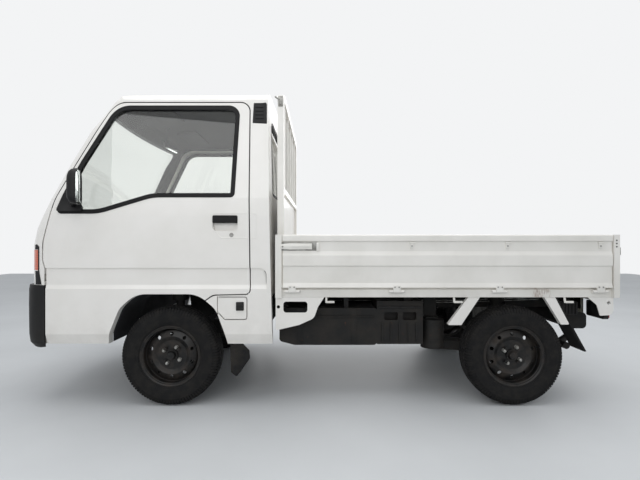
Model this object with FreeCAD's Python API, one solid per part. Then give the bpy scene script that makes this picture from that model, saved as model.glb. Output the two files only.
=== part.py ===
import FreeCAD, Part
import math
import os
from FreeCAD import Vector

# Kei truck: a forward-control steel cab and a drop-side bed on one ladder frame.
# Millimetres.  Front towards -X, left side towards -Y, up +Z.
# Origin on the ground, midway along the overall length, on the centre line.

# ---------------------------------------------------------------- overall sizes
FRONT_OVERHANG = 850.0
WHEELBASE = 1885.0
REAR_OVERHANG = 560.0
WIDTH = 1395.0
TRACK = 1205.0
# everything is laid out from the front axle, and the finished pieces are then moved along so that
# the origin lies midway along the overall length
FRONT_AXLE_X = -797.5
REAR_AXLE_X = FRONT_AXLE_X + WHEELBASE
NOSE_X = FRONT_AXLE_X - FRONT_OVERHANG
TAIL_X = REAR_AXLE_X + REAR_OVERHANG
MIDDLE_X = (NOSE_X + TAIL_X) / 2
HALF = WIDTH / 2

# ---------------------------------------------------------------- wheels
TYRE_D = 542.0
TYRE_W = 145.0
RIM_D = 305.0
RIM_LIP_D = 336.0
RIM_W = 112.0
DISC_T = 5.0
STUD_CIRCLE_D = 100.0
STUDS = 4
VENTS = 10
AXLE_Z = TYRE_D / 2

# ---------------------------------------------------------------- clearances
SHUT_GAP = 6.5
DOOR_ROOM = 12.0
SEAT_GAP = 0.3
PIN_FIT = 0.05

# ---------------------------------------------------------------- cab
CAB_BOTTOM_Z = 345.0
CAB_REAR_X = -234.0
CAB_REAR_LEAN = 34.0
CAB_ROOF_Z = 1770.0
ROOF_CROWN_R = 8700.0
SHOULDER_FOOT_Z = 1105.0
ROOF_SEAM_Z = 1680.0
NOSE_R = 3600.0
CORNER_R = 105.0
SIDE_T = 45.0
NOSE_T = 40.0
BACK_T = 35.0
ROOF_T = 30.0
GLASS_T = 5.0
GLASS_SET_IN = 10.0
# height, front on the centre line, half width
CAB_SECTIONS = [
    (CAB_BOTTOM_Z, NOSE_X + 40.0, HALF - 18.0),
    (400.0, NOSE_X + 28.0, HALF),
    (880.0, NOSE_X + 28.0, HALF),
    (975.0, NOSE_X + 50.0, HALF),
    (1040.0, NOSE_X + 78.0, HALF),
    (1135.0, NOSE_X + 124.0, HALF - 2.0),
    (1322.0, NOSE_X + 216.0, HALF - 27.0),
    (1520.0, NOSE_X + 322.0, HALF - 55.0),
    (1692.0, NOSE_X + 449.0, HALF - 79.0),
    (1800.0, NOSE_X + 560.0, HALF - 94.0),
]
# roof line from the rear forwards: x, height below the crown
ROOF_LINE = [
    (CAB_REAR_X + 50.0, 4.0),
    (-700.0, 0.0),
    (NOSE_X + 647.5, 20.0),
    (NOSE_X + 527.5, 52.0),
    (NOSE_X + 407.5, 120.0),
]

# ---------------------------------------------------------------- cab side pressing
CREASE_Z = 757.0
CREASE_FOOT_Z = 665.0
CREASE_END_Z = 644.0
CREASE_DEEP = 8.0
CREASE_BACK_X = CAB_REAR_X - 31.0
CREASE_R = 40.0

# ---------------------------------------------------------------- door
DOOR_BACK_X = -356.0
DOOR_LEAN = 13.0
DOOR_TOP_Z = ROOF_SEAM_Z - SHUT_GAP
DOOR_HEEL_Z = 618.0
HINGE_X = NOSE_X + 157.5
HINGE_IN = 14.0
HINGE_PIN_R = 4.0
HINGE_EYE_R = 6.5
HINGE_STRAP_T = 8.0
HINGE_STRAP_H = 30.0
HINGE_LIP_T = 2.5
HINGE_HEIGHTS = [705.0, 880.0]
# door outline, front edge upwards then along the top: x, z, corner radius
DOOR_FRONT = [
    (NOSE_X + 190.5, 300.0, 0.0),
    (NOSE_X + 190.5, CREASE_Z, 20.0),
    (NOSE_X + 177.5, 800.0, 30.0),
    (NOSE_X + 179.5, 900.0, 150.0),
    (NOSE_X + 236.5, 1124.0, 400.0),
    (NOSE_X + 407.5, 1451.0, 900.0),
    (NOSE_X + 525.5, DOOR_TOP_Z, 120.0),
]
# window opening in the door: x, z, corner radius
WINDOW = [
    (NOSE_X + 243.5, 1050.0, 22.0),
    (NOSE_X + 359.5, 1325.0, 900.0),
    (NOSE_X + 425.5, 1445.0, 900.0),
    (NOSE_X + 541.5, 1658.0, 130.0),
    (DOOR_BACK_X - 63.0, 1658.0, 62.0),
    (DOOR_BACK_X - 82.0, 1138.0, 26.0),
    (DOOR_BACK_X - 524.0, 1138.0, 300.0),
    (NOSE_X + 477.5, 1050.0, 300.0),
]
WINDOW_RUBBER = 24.0

# ---------------------------------------------------------------- wheel arch
ARCH_TOP_Z = 616.0
LINER_T = 4.0
LINER_IN_Y = -345.0
# arch outline from the front foot over the top to the rear foot: x from the axle, z, radius
ARCH = [
    (-334.0, 300.0, 0.0),
    (-318.0, 400.0, 260.0),
    (-262.0, 540.0, 120.0),
    (-175.0, ARCH_TOP_Z, 150.0),
    (160.0, ARCH_TOP_Z, 150.0),
    (258.0, 535.0, 120.0),
    (308.0, 400.0, 260.0),
    (330.0, 300.0, 0.0),
]


# ================================================================ drawing tools
def on_side(u, v):
    """A point of a side view: x and z."""
    return Vector(u, 0.0, v)


def on_front(u, v):
    """A point of a front view: y and z."""
    return Vector(0.0, u, v)


def on_plan(u, v):
    """A point of a plan: x and y."""
    return Vector(u, v, 0.0)


def outline(points, place):
    """A closed wire through (u, v, radius) corners, each rounded by a tangent arc."""
    corners = []
    count = len(points)
    for i in range(count):
        here = Vector(points[i][0], points[i][1], 0.0)
        back = Vector(points[i - 1][0], points[i - 1][1], 0.0) - here
        ahead = Vector(points[(i + 1) % count][0], points[(i + 1) % count][1], 0.0) - here
        half = back.getAngle(ahead) / 2
        radius = points[i][2]
        straight = half > math.radians(89.9)
        if radius <= 0.0 or straight:
            corners.append((here, None, here))
            continue
        run = min(radius / math.tan(half), 0.49 * back.Length, 0.49 * ahead.Length)
        radius = run * math.tan(half)
        back.normalize()
        ahead.normalize()
        inward = back + ahead
        inward.normalize()
        centre = here + inward * (radius / math.sin(half))
        corners.append((here + back * run, centre - inward * radius, here + ahead * run))
    edges = []
    for i in range(count):
        start, middle, finish = [p and place(p.x, p.y) for p in corners[i]]
        if middle is not None:
            edges.append(Part.Arc(start, middle, finish).toShape())
        after = corners[(i + 1) % count][0]
        after = place(after.x, after.y)
        if (after - finish).Length > 0.001:
            edges.append(Part.makeLine(finish, after))
    return Part.Wire(edges)


def side_prism(points, y0, y1):
    """A side-view outline run across the truck from y0 to y1."""
    face = Part.Face(outline(points, on_side))
    face.translate(Vector(0.0, y0, 0.0))
    return face.extrude(Vector(0.0, y1 - y0, 0.0))


def front_prism(points, x0, x1):
    """A front-view outline run along the truck from x0 to x1."""
    face = Part.Face(outline(points, on_front))
    face.translate(Vector(x0, 0.0, 0.0))
    return face.extrude(Vector(x1 - x0, 0.0, 0.0))


def plan_prism(points, z0, z1):
    """A plan outline raised from z0 to z1."""
    face = Part.Face(outline(points, on_plan))
    face.translate(Vector(0.0, 0.0, z0))
    return face.extrude(Vector(0.0, 0.0, z1 - z0))


def box(x0, x1, y0, y1, z0, z1):
    """A block between two corners."""
    low = Vector(min(x0, x1), min(y0, y1), min(z0, z1))
    return Part.makeBox(abs(x1 - x0), abs(y1 - y0), abs(z1 - z0), low)


def rod(start, finish, radius):
    """A round bar between two points."""
    start = Vector(*start)
    way = Vector(*finish) - start
    return Part.makeCylinder(radius, way.Length, start, way)


def tube(path, radius):
    """A round bar through several points, with a ball at each bend."""
    pieces = []
    for i in range(len(path) - 1):
        pieces.append(rod(path[i], path[i + 1], radius))
    for point in path[1:-1]:
        pieces.append(Part.makeSphere(radius, Vector(*point)))
    return fuse(pieces)


def mirrored(shape):
    """The same piece on the other side of the truck."""
    return shape.mirror(Vector(0.0, 0.0, 0.0), Vector(0.0, 1.0, 0.0))


def both_sides(shape):
    """A piece and its opposite, side by side."""
    return Part.makeCompound([shape, mirrored(shape)])


def fuse(pieces):
    """One solid from pieces that meet."""
    whole = pieces[0]
    if len(pieces) > 1:
        whole = pieces[0].multiFuse(pieces[1:])
    return whole.removeSplitter()


def moved(points, dx, dz):
    """A side-view outline shifted by dx and dz."""
    return [(p[0] + dx, p[1] + dz, p[2]) for p in points]


def inset(points, amount):
    """A clockwise side-view outline drawn in by a fixed amount."""
    drawn = []
    count = len(points)
    for i in range(count):
        here = Vector(points[i][0], points[i][1], 0.0)
        back = here - Vector(points[i - 1][0], points[i - 1][1], 0.0)
        ahead = Vector(points[(i + 1) % count][0], points[(i + 1) % count][1], 0.0) - here
        back.normalize()
        ahead.normalize()
        first = Vector(back.y, -back.x, 0.0)
        second = Vector(ahead.y, -ahead.x, 0.0)
        middle = first + second
        middle.normalize()
        step = amount / middle.dot(first)
        spot = here + middle * step
        drawn.append((spot.x, spot.y, max(points[i][2] - amount, 2.0)))
    return drawn


PARTS = {}


def keep(name, shape):
    """Store one named piece for writing."""
    PARTS[name] = shape


# ================================================================ cab form
def cab_rear_at(z):
    """Back of the cab at a height: the rear wall leans forwards going up."""
    return CAB_REAR_X - CAB_REAR_LEAN * (z - CAB_BOTTOM_Z) / (CAB_ROOF_Z - CAB_BOTTOM_Z)


def cab_plan(z, front_x, half, rear_x, corner):
    """Plan of the cab at a height: bowed nose, round corners, straight sides and back."""
    nose_centre = front_x + NOSE_R
    reach = NOSE_R - corner
    corner_y = half - corner
    corner_x = nose_centre - math.sqrt(reach ** 2 - corner_y ** 2)
    turn = math.atan2(corner_y, nose_centre - corner_x)
    meet = Vector(nose_centre - NOSE_R * math.cos(turn), NOSE_R * math.sin(turn), z)
    swing = (turn + math.pi / 2) / 2
    middle = Vector(corner_x - corner * math.cos(swing), corner_y + corner * math.sin(swing), z)
    side = Vector(corner_x, half, z)
    rear = Vector(rear_x, half, z)

    def other(p):
        return Vector(p.x, -p.y, p.z)

    edges = [
        Part.makeLine(other(rear), other(side)),
        Part.Arc(other(side), other(middle), other(meet)).toShape(),
        Part.Arc(other(meet), Vector(front_x, 0.0, z), meet).toShape(),
        Part.Arc(meet, middle, side).toShape(),
        Part.makeLine(side, rear),
        Part.makeLine(rear, other(rear)),
    ]
    return Part.Wire(edges)


def cab_form(side, nose, back, top):
    """The cab's outer form, drawn in by the given amounts."""
    wires = []
    for z, front_x, half in CAB_SECTIONS:
        wires.append(cab_plan(z, front_x + nose, half - side, cab_rear_at(z) - back, CORNER_R - side))
    body = Part.makeLoft(wires, True, True)
    crown_z = CAB_ROOF_Z - top
    shoulder_half = HALF - 79.0 - side
    drop = shoulder_half ** 2 / (2 * ROOF_CROWN_R)
    low = CAB_BOTTOM_Z - 50.0
    across = [
        (-HALF - 50.0, low, 0.0),
        (-HALF - 50.0 + side, SHOULDER_FOOT_Z, 0.0),
        (-shoulder_half - 6.0, crown_z - drop - 50.0, 90.0),
        (-shoulder_half + 80.0, crown_z - drop * 0.75, 400.0),
        (0.0, crown_z, ROOF_CROWN_R),
        (shoulder_half - 80.0, crown_z - drop * 0.75, 400.0),
        (shoulder_half + 6.0, crown_z - drop - 50.0, 90.0),
        (HALF + 50.0 - side, SHOULDER_FOOT_Z, 0.0),
        (HALF + 50.0, low, 0.0),
    ]
    crown = front_prism(across, NOSE_X - 50.0, 0.0)
    along = [(0.0, low, 0.0)]
    for x, below in ROOF_LINE:
        along.append((x, crown_z + 1.0 - below, 500.0))
    along.append((NOSE_X - 60.0, crown_z - 420.0, 0.0))
    along.append((NOSE_X - 60.0, low, 0.0))
    along.insert(1, (0.0, crown_z + 1.0 - ROOF_LINE[0][1], 0.0))
    header = side_prism(along, -HALF - 60.0, HALF + 60.0)
    return body.common(crown).common(header)


# ================================================================ cab panels
cab_outer = cab_form(0.0, 0.0, 0.0, 0.0)
cab_inner = cab_form(SIDE_T, NOSE_T, BACK_T, ROOF_T)
cab_wall = cab_outer.cut(cab_inner)
glass_outer = cab_form(GLASS_SET_IN, GLASS_SET_IN, GLASS_SET_IN, 0.0)
glass_inner = cab_form(GLASS_SET_IN + GLASS_T, GLASS_SET_IN + GLASS_T, GLASS_SET_IN + GLASS_T, 0.0)
glass_skin = glass_outer.cut(glass_inner)

arch_points = moved(ARCH, FRONT_AXLE_X, 0.0)
arch_cut = side_prism(arch_points, -HALF - 20.0, HALF + 20.0)

# the door's whole outline, clockwise from the front foot: up, back, down, forwards
DOOR_LINE = DOOR_FRONT + [
    (DOOR_BACK_X - DOOR_LEAN, DOOR_TOP_Z, 50.0),
    (DOOR_BACK_X, DOOR_HEEL_Z, 24.0),
    (DOOR_BACK_X - 200.0, DOOR_HEEL_Z - 4.0, 60.0),
    (FRONT_AXLE_X + 190.0, ARCH_TOP_Z - 40.0, 0.0),
    (FRONT_AXLE_X, 300.0, 0.0),
]
door_prism = side_prism(DOOR_LINE, -HALF - 20.0, -HALF + 150.0)
door_hole = side_prism(inset(DOOR_LINE, -SHUT_GAP), -HALF - 20.0, -HALF + 150.0)
window_prism = side_prism(WINDOW, -HALF - 20.0, -HALF + 180.0)
pane_prism = side_prism(inset(WINDOW, WINDOW_RUBBER), -HALF - 20.0, -HALF + 180.0)

# below the crease the side panels are pressed in, sloping out again above the sill
SLOPE_OUT = CREASE_DEEP / (CREASE_FOOT_Z - CREASE_END_Z)
crease_across = [
    (-HALF - 2.0, CREASE_END_Z - 2.0 / SLOPE_OUT, 0.0),
    (-HALF + CREASE_DEEP, CREASE_FOOT_Z, 20.0),
    (-HALF + CREASE_DEEP, CREASE_Z + 30.0, 0.0),
    (-HALF - 2.0, CREASE_Z + 30.0, 0.0),
]
crease_along = [
    (NOSE_X + 150.0, CREASE_END_Z - 20.0, 0.0),
    (NOSE_X + 150.0, CREASE_Z, 0.0),
    (CREASE_BACK_X, CREASE_Z, CREASE_R),
    (CREASE_BACK_X, CREASE_END_Z - 20.0, 0.0),
]
crease_cut = front_prism(crease_across, NOSE_X + 150.0, CAB_REAR_X)
crease_cut = crease_cut.common(side_prism(crease_along, -HALF - 20.0, -HALF + 20.0))

# the cab's air leaves by a vent let into each rear corner, behind the door
VENT_DEEP = 9.0
VENT = [
    (DOOR_BACK_X + 6.0, 1556.0, 6.0),
    (DOOR_BACK_X + 10.0, ROOF_SEAM_Z - 8.0, 10.0),
    (CAB_REAR_X - 38.0, ROOF_SEAM_Z - 8.0, 14.0),
    (CAB_REAR_X - 36.0, 1552.0, 4.0),
]
vent_skin = cab_outer.cut(cab_form(VENT_DEEP, VENT_DEEP, 0.0, 0.0))
vent_cut = vent_skin.common(side_prism(VENT, -HALF - 20.0, -HALF + 140.0))

# windscreen and rear window openings: y, z, corner radius
SCREEN = [
    (-612.0, 1062.0, 60.0),
    (-540.0, 1640.0, 70.0),
    (540.0, 1640.0, 70.0),
    (612.0, 1062.0, 60.0),
]
BACKLIGHT = [
    (-520.0, 1180.0, 50.0),
    (-480.0, 1600.0, 60.0),
    (480.0, 1600.0, 60.0),
    (520.0, 1180.0, 50.0),
]
SCREEN_BACK_X = NOSE_X + 747.5
screen_prism = front_prism(SCREEN, NOSE_X - 20.0, SCREEN_BACK_X)
backlight_prism = front_prism(BACKLIGHT, CAB_REAR_X - 150.0, CAB_REAR_X + 20.0)

# lamps let into the nose
LAMP_Y = 480.0
LAMP_Z = 800.0
LAMP_W = 190.0
LAMP_H = 150.0
TURN_Z = 800.0
TURN_H = 110.0

wide = HALF + 80.0
upper = box(NOSE_X - 80.0, 0.0, -wide, wide, ROOF_SEAM_Z, CAB_ROOF_Z + 40.0)
lower = box(NOSE_X - 80.0, 0.0, -wide, wide, 250.0, ROOF_SEAM_Z)
keep("cab_roof", cab_wall.common(upper))

body_wall = cab_wall.common(lower).cut(arch_cut)
body_wall = body_wall.cut(door_hole).cut(mirrored(door_hole))
FRONT_HALF_X = FRONT_AXLE_X
front_half = box(NOSE_X - 80.0, FRONT_HALF_X, -wide, wide, 250.0, ROOF_SEAM_Z)
cab_nose = body_wall.common(front_half).cut(screen_prism)
cab_back = body_wall.cut(front_half).cut(backlight_prism)
# below the seat box the back is open between the side panels, for the frame to pass
OPEN_BACK_Z = 600.0
open_back = box(CAB_REAR_X - 120.0, CAB_REAR_X + 20.0, -HALF + SIDE_T, HALF - SIDE_T, 250.0, OPEN_BACK_Z)
cab_back = cab_back.cut(open_back)
for tool in (crease_cut, vent_cut):
    cab_back = cab_back.cut([tool, mirrored(tool)])

# ---------------------------------------------------------------- headlamps and turn lamps


def lamp_block(y0, y1, z0, z1, radius):
    """A lamp let into the nose: the form of the nose inside a rounded frame."""
    frame = [(y0, z0, radius), (y0, z1, radius), (y1, z1, radius), (y1, z0, radius)]
    return front_prism(frame, NOSE_X - 20.0, NOSE_X + 200.0)


head_prism = lamp_block(-LAMP_Y - LAMP_W / 2, -LAMP_Y + LAMP_W / 2,
                        LAMP_Z - LAMP_H / 2, LAMP_Z + LAMP_H / 2, 16.0)
turn_prism = lamp_block(-HALF - 20.0, -LAMP_Y - LAMP_W / 2 - 8.0,
                        TURN_Z - TURN_H / 2, TURN_Z + TURN_H / 2, 8.0)
turn_room = box(NOSE_X - 20.0, NOSE_X + 28.0 + CORNER_R + 20.0, -HALF - 20.0, 0.0, 500.0, 1000.0)
turn_prism = turn_prism.common(turn_room)
lamp_depth = cab_outer.cut(cab_form(NOSE_T, NOSE_T, 0.0, 0.0))
headlamp = head_prism.common(lamp_depth)
turn_lamp = turn_prism.common(lamp_depth)
cab_nose = cab_nose.cut(head_prism).cut(mirrored(head_prism))
cab_nose = cab_nose.cut(turn_prism).cut(mirrored(turn_prism))
# a dark grille panel joins the headlamps, with slots across it
GRILLE_HALF = LAMP_Y - LAMP_W / 2 - 6.0
GRILLE_Z0 = LAMP_Z - LAMP_H / 2 + 16.0
GRILLE_Z1 = LAMP_Z + LAMP_H / 2
GRILLE_T = 12.0
GRILLE_PROUD = 3.0
GRILLE_SLOTS = 4
GRILLE_SLOT_H = 12.0
GRILLE_SLOT_DEEP = 9.0
grille_prism = lamp_block(-GRILLE_HALF, GRILLE_HALF, GRILLE_Z0, GRILLE_Z1, 12.0)
grille_bed = cab_outer.cut(cab_form(0.0, GRILLE_T, 0.0, 0.0)).common(grille_prism)
grille = cab_form(0.0, -GRILLE_PROUD, 0.0, 0.0).cut(cab_form(0.0, GRILLE_T, 0.0, 0.0))
grille = grille.common(grille_prism)
slot_skin = cab_form(0.0, -GRILLE_PROUD - 2.0, 0.0, 0.0)
slot_skin = slot_skin.cut(cab_form(0.0, GRILLE_SLOT_DEEP - GRILLE_PROUD, 0.0, 0.0))
slot_pitch = (GRILLE_Z1 - GRILLE_Z0) / GRILLE_SLOTS
for i in range(GRILLE_SLOTS):
    slot_z = GRILLE_Z0 + slot_pitch * (i + 0.5) - GRILLE_SLOT_H / 2
    slot = lamp_block(-GRILLE_HALF + 24.0, GRILLE_HALF - 24.0, slot_z, slot_z + GRILLE_SLOT_H, 4.0)
    grille = grille.cut(slot_skin.common(slot))
cab_nose = cab_nose.cut(grille_bed)
keep("headlamps", both_sides(headlamp))
keep("turn_lamps", both_sides(turn_lamp))

# ---------------------------------------------------------------- glass
windscreen = glass_skin.common(screen_prism)
backlight = glass_skin.common(backlight_prism)
keep("cab_glass", Part.makeCompound([windscreen, backlight]))

# ---------------------------------------------------------------- floor, seat box and bulkhead
FLOOR_Z = 440.0
FLOOR_T = 25.0
SEAT_BOX_Z = 640.0
RISER_X = FRONT_AXLE_X - 337.0
TOE_X = NOSE_X + 110.0
floor_side = [
    (TOE_X - 90.0, FLOOR_Z + 150.0, 0.0),
    (TOE_X, FLOOR_Z, 30.0),
    (RISER_X, FLOOR_Z, 10.0),
    (RISER_X, SEAT_BOX_Z, 20.0),
    (CAB_REAR_X - 20.0, SEAT_BOX_Z, 0.0),
    (CAB_REAR_X - 20.0, SEAT_BOX_Z - FLOOR_T, 0.0),
    (RISER_X + FLOOR_T, SEAT_BOX_Z - FLOOR_T, 10.0),
    (RISER_X + FLOOR_T, FLOOR_Z - FLOOR_T, 10.0),
    (TOE_X - 10.0, FLOOR_Z - FLOOR_T, 30.0),
    (TOE_X - 100.0, FLOOR_Z + 125.0, 0.0),
]
floor_half = HALF - SIDE_T - DOOR_ROOM
floor_pan = side_prism(floor_side, -floor_half, floor_half)
floor_room = cab_form(SIDE_T, NOSE_T, BACK_T, ROOF_T)
cab_floor = floor_pan.common(floor_room)
# linings over the front wheels hang from the seat box and its riser
liner_side = side_prism(inset(arch_points, -LINER_T), -floor_half, LINER_IN_Y)
liner_side = liner_side.cut(arch_cut)
liner = liner_side.common(cab_form(SIDE_T + DOOR_ROOM, NOSE_T, BACK_T, ROOF_T))
keep("cab_floor", fuse([cab_floor, liner, mirrored(liner)]))


# ================================================================ doors
# Each door turns on two hidden pins inside the nose pillar.  A bent strap runs from the
# pin round the pillar's edge to the door, so the door clears the pillar as it swings.
hinge_y = -HALF + HINGE_IN


def hinge_strap(z):
    """The door's half of a hinge: an eye on the pin and a strap bent round the pillar."""
    low = z - HINGE_STRAP_H / 2
    half = HINGE_STRAP_T / 2
    eye = Part.makeCylinder(HINGE_EYE_R, HINGE_STRAP_H, Vector(HINGE_X, hinge_y, low))
    knee = Vector(HINGE_X + 6.0, hinge_y + 24.0, 0.0)
    across = [
        (HINGE_X - half, hinge_y, 0.0),
        (HINGE_X + half, hinge_y, 0.0),
        (knee.x + half, knee.y - half, 3.0),
        (HINGE_X + 60.0, knee.y - half, 0.0),
        (HINGE_X + 60.0, knee.y + half, 0.0),
        (knee.x - half, knee.y + half, 3.0),
    ]
    strap = plan_prism(across, low, low + HINGE_STRAP_H)
    bore = Part.makeCylinder(HINGE_PIN_R + PIN_FIT, HINGE_STRAP_H, Vector(HINGE_X, hinge_y, low))
    return eye.fuse(strap).cut(bore)


def hinge_pocket(z):
    """The space in the nose pillar that a hinge strap swings in."""
    low = z - HINGE_STRAP_H / 2 - 5.0
    high = z + HINGE_STRAP_H / 2 + 5.0
    skin = cab_form(HINGE_LIP_T, HINGE_LIP_T, 0.0, 0.0)
    room = box(HINGE_X - HINGE_EYE_R - 5.0, HINGE_X + 60.0, -HALF - 10.0, -HALF + 100.0, low, high)
    return room.common(skin)


def hinge_pin(z):
    """The pin, held by the pillar above and below its pocket."""
    length = HINGE_STRAP_H + 10.0
    return Part.makeCylinder(HINGE_PIN_R, length, Vector(HINGE_X, hinge_y, z - length / 2))


# the pull handle sits in the top of a pocket pressed into the door skin
HANDLE_X0 = DOOR_BACK_X - 200.0
HANDLE_X1 = DOOR_BACK_X - 65.0
HANDLE_Z1 = 1041.0
HANDLE_Z0 = 1000.0
HANDLE_BOWL_Z = 957.0
HANDLE_DEEP = 20.0
HANDLE_PROUD = 4.0
bowl = [
    (HANDLE_X0, HANDLE_BOWL_Z, 22.0),
    (HANDLE_X0, HANDLE_Z1, 8.0),
    (HANDLE_X1, HANDLE_Z1, 8.0),
    (HANDLE_X1, HANDLE_BOWL_Z, 22.0),
]
bowl_cut = side_prism(bowl, -HALF - 5.0, -HALF + HANDLE_DEEP)
grip = [
    (HANDLE_X0, HANDLE_Z0, 4.0),
    (HANDLE_X0, HANDLE_Z1, 8.0),
    (HANDLE_X1, HANDLE_Z1, 8.0),
    (HANDLE_X1, HANDLE_Z0, 4.0),
]
handle = side_prism(grip, -HALF - HANDLE_PROUD, -HALF + HANDLE_DEEP)
hollow = box(HANDLE_X0 + 8.0, HANDLE_X1 - 8.0, -HALF + 10.0, -HALF + HANDLE_DEEP,
             HANDLE_Z0 - 5.0, HANDLE_Z0 + 26.0)
handle = handle.cut(hollow)

door = cab_wall.common(door_prism).cut(arch_cut).cut(window_prism).cut([bowl_cut, crease_cut])
for z in HINGE_HEIGHTS:
    door = door.fuse(hinge_strap(z))
    cab_nose = cab_nose.cut(hinge_pocket(z)).cut(mirrored(hinge_pocket(z)))
    cab_nose = cab_nose.fuse([hinge_pin(z), mirrored(hinge_pin(z))])
door = door.removeSplitter()
# the leg ahead of the wheel arch is a pressing of its own, welded under the door's heel
heel_room = box(NOSE_X, 0.0, -HALF - 50.0, 0.0, DOOR_HEEL_Z, CAB_ROOF_Z)
door = Part.makeCompound([door.common(heel_room), door.cut(heel_room)])
keep("door_left", door)
keep("door_right", mirrored(door))

RUBBER_PROUD = 2.0
rubber_in = GLASS_SET_IN + GLASS_T + 7.0
rubber_outer = cab_form(-RUBBER_PROUD, -RUBBER_PROUD, -RUBBER_PROUD, -RUBBER_PROUD)
rubber_inner = cab_form(rubber_in, rubber_in, rubber_in, rubber_in)
rubber_skin = rubber_outer.cut(rubber_inner)
window_rubber = rubber_skin.common(window_prism).cut(pane_prism)
door_trim = Part.makeCompound([window_rubber, handle])
keep("door_trim_left", door_trim)
keep("door_trim_right", mirrored(door_trim))
door_pane = glass_skin.common(pane_prism)
keep("door_glass_left", door_pane)
keep("door_glass_right", mirrored(door_pane))

# ---------------------------------------------------------------- mirrors
MIRROR_X = NOSE_X + 365.5
MIRROR_DEEP = 62.0
MIRROR_TURN = 35.0
MIRROR_Y0 = -HALF - 175.0
MIRROR_Y1 = -HALF - 45.0
MIRROR_Z0 = 1092.0
MIRROR_Z1 = 1277.0
head_face = [
    (MIRROR_Y0, MIRROR_Z0, 42.0),
    (MIRROR_Y0, MIRROR_Z1, 42.0),
    (MIRROR_Y1, MIRROR_Z1, 42.0),
    (MIRROR_Y1, MIRROR_Z0, 42.0),
]
head = front_prism(head_face, MIRROR_X, MIRROR_X + MIRROR_DEEP)
# the glass looks between straight back and the driver
head_middle = Vector(MIRROR_X + MIRROR_DEEP / 2, (MIRROR_Y0 + MIRROR_Y1) / 2, 0.0)
head.rotate(head_middle, Vector(0.0, 0.0, 1.0), MIRROR_TURN)
SAIL = [
    (NOSE_X + 252.5, 1062.0, 12.0),
    (NOSE_X + 322.5, 1225.0, 12.0),
    (NOSE_X + 397.5, 1062.0, 12.0),
]
sail_skin = cab_form(-16.0, -16.0, -16.0, -16.0).cut(rubber_outer)
sail = sail_skin.common(side_prism(SAIL, -HALF - 40.0, -HALF + 40.0))
arm_z = 1110.0
arm = rod((MIRROR_X - 23.0, -HALF, arm_z), (MIRROR_X + 27.0, MIRROR_Y1 - 30.0, arm_z + 18.0), 13.0)
arm = arm.cut(rubber_outer)
mirror = fuse([head, sail, arm])
keep("mirror_left", mirror)
keep("mirror_right", mirrored(mirror))

# ---------------------------------------------------------------- fuel filler flap
FLAP_GAP = 5.0
FLAP_T = 9.0
FLAP_BARREL_R = 5.0
FLAP_PIN_R = 2.5
FLAP_ROOM_DEEP = 30.0
FLAP_HINGE_X = -524.0
# x, z, corner radius
FLAP = [
    (FLAP_HINGE_X, 520.0, 0.0),
    (FLAP_HINGE_X, 598.0, 0.0),
    (-373.0, 598.0, 10.0),
    (-373.0, 482.0, 10.0),
    (-490.0, 482.0, 6.0),
]
flap_y = -HALF + FLAP_BARREL_R
flap_plate = side_prism(FLAP, -HALF, -HALF + FLAP_T)
barrel_low = 522.0
barrel_high = 598.0
barrel = Part.makeCylinder(FLAP_BARREL_R, barrel_high - barrel_low,
                           Vector(FLAP_HINGE_X, flap_y, barrel_low))
flap_bore = Part.makeCylinder(FLAP_PIN_R + PIN_FIT, 200.0, Vector(FLAP_HINGE_X, flap_y, 450.0))
flap_latch = box(-428.0, -388.0, -HALF - 3.0, -HALF + FLAP_T + 4.0, 527.0, 560.0)
flap = flap_plate.fuse([barrel, flap_latch]).cut(flap_bore).removeSplitter()
keep("fuel_flap", flap)
flap_room_line = inset(FLAP, -FLAP_GAP)
flap_room = side_prism(flap_room_line, -HALF - 10.0, -HALF + FLAP_ROOM_DEEP)
room_low = barrel_low - 3 * FLAP_GAP
room_length = barrel_high + FLAP_GAP - room_low
barrel_room = Part.makeCylinder(FLAP_BARREL_R + 4.0, room_length,
                                Vector(FLAP_HINGE_X, flap_y, room_low))
flap_pin = Part.makeCylinder(FLAP_PIN_R, room_length, Vector(FLAP_HINGE_X, flap_y, room_low))
cab_back = cab_back.cut(flap_room).cut(barrel_room).fuse(flap_pin)
keep("cab_nose", cab_nose)
keep("cab_back", cab_back)


# ================================================================ wheels
WHEEL_Y = TRACK / 2
SPINDLE_R = 15.0
HUB_R = 32.0
HUB_OUT = 38.0
HUB_IN = -14.0
RIM_R = RIM_D / 2
BARREL_T = 4.0


def turned(points, centre_x, wheel_y, outward):
    """A body of revolution about a wheel's axle from (radius, outward offset, corner) points."""
    section = outline(points, lambda u, v: Vector(0.0, outward * v, u))
    face = Part.Face(section)
    whole = face.revolve(Vector(0.0, 0.0, 0.0), Vector(0.0, 1.0, 0.0), 360.0)
    whole.translate(Vector(centre_x, wheel_y, AXLE_Z))
    if whole.Volume < 0.0:
        whole.reverse()
    return whole


# tyre: radius, offset from the wheel's middle, corner radius
SIDE_Y = TYRE_W / 2
tyre_points = [
    (RIM_R, -RIM_W / 2, 0.0),
    (RIM_LIP_D / 2 + 1.0, -RIM_W / 2, 3.0),
    (RIM_R + 34.0, -SIDE_Y + 3.0, 14.0),
    (RIM_R + 62.0, -SIDE_Y - 1.5, 60.0),
    (TYRE_D / 2 - 22.0, -SIDE_Y + 7.0, 30.0),
    (TYRE_D / 2 - 4.0, -SIDE_Y + 27.0, 22.0),
    (TYRE_D / 2, 0.0, 900.0),
    (TYRE_D / 2 - 4.0, SIDE_Y - 27.0, 22.0),
    (TYRE_D / 2 - 22.0, SIDE_Y - 7.0, 30.0),
    (RIM_R + 62.0, SIDE_Y + 1.5, 60.0),
    (RIM_R + 34.0, SIDE_Y - 3.0, 14.0),
    (RIM_LIP_D / 2 + 1.0, RIM_W / 2, 3.0),
    (RIM_R, RIM_W / 2, 0.0),
]
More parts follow.
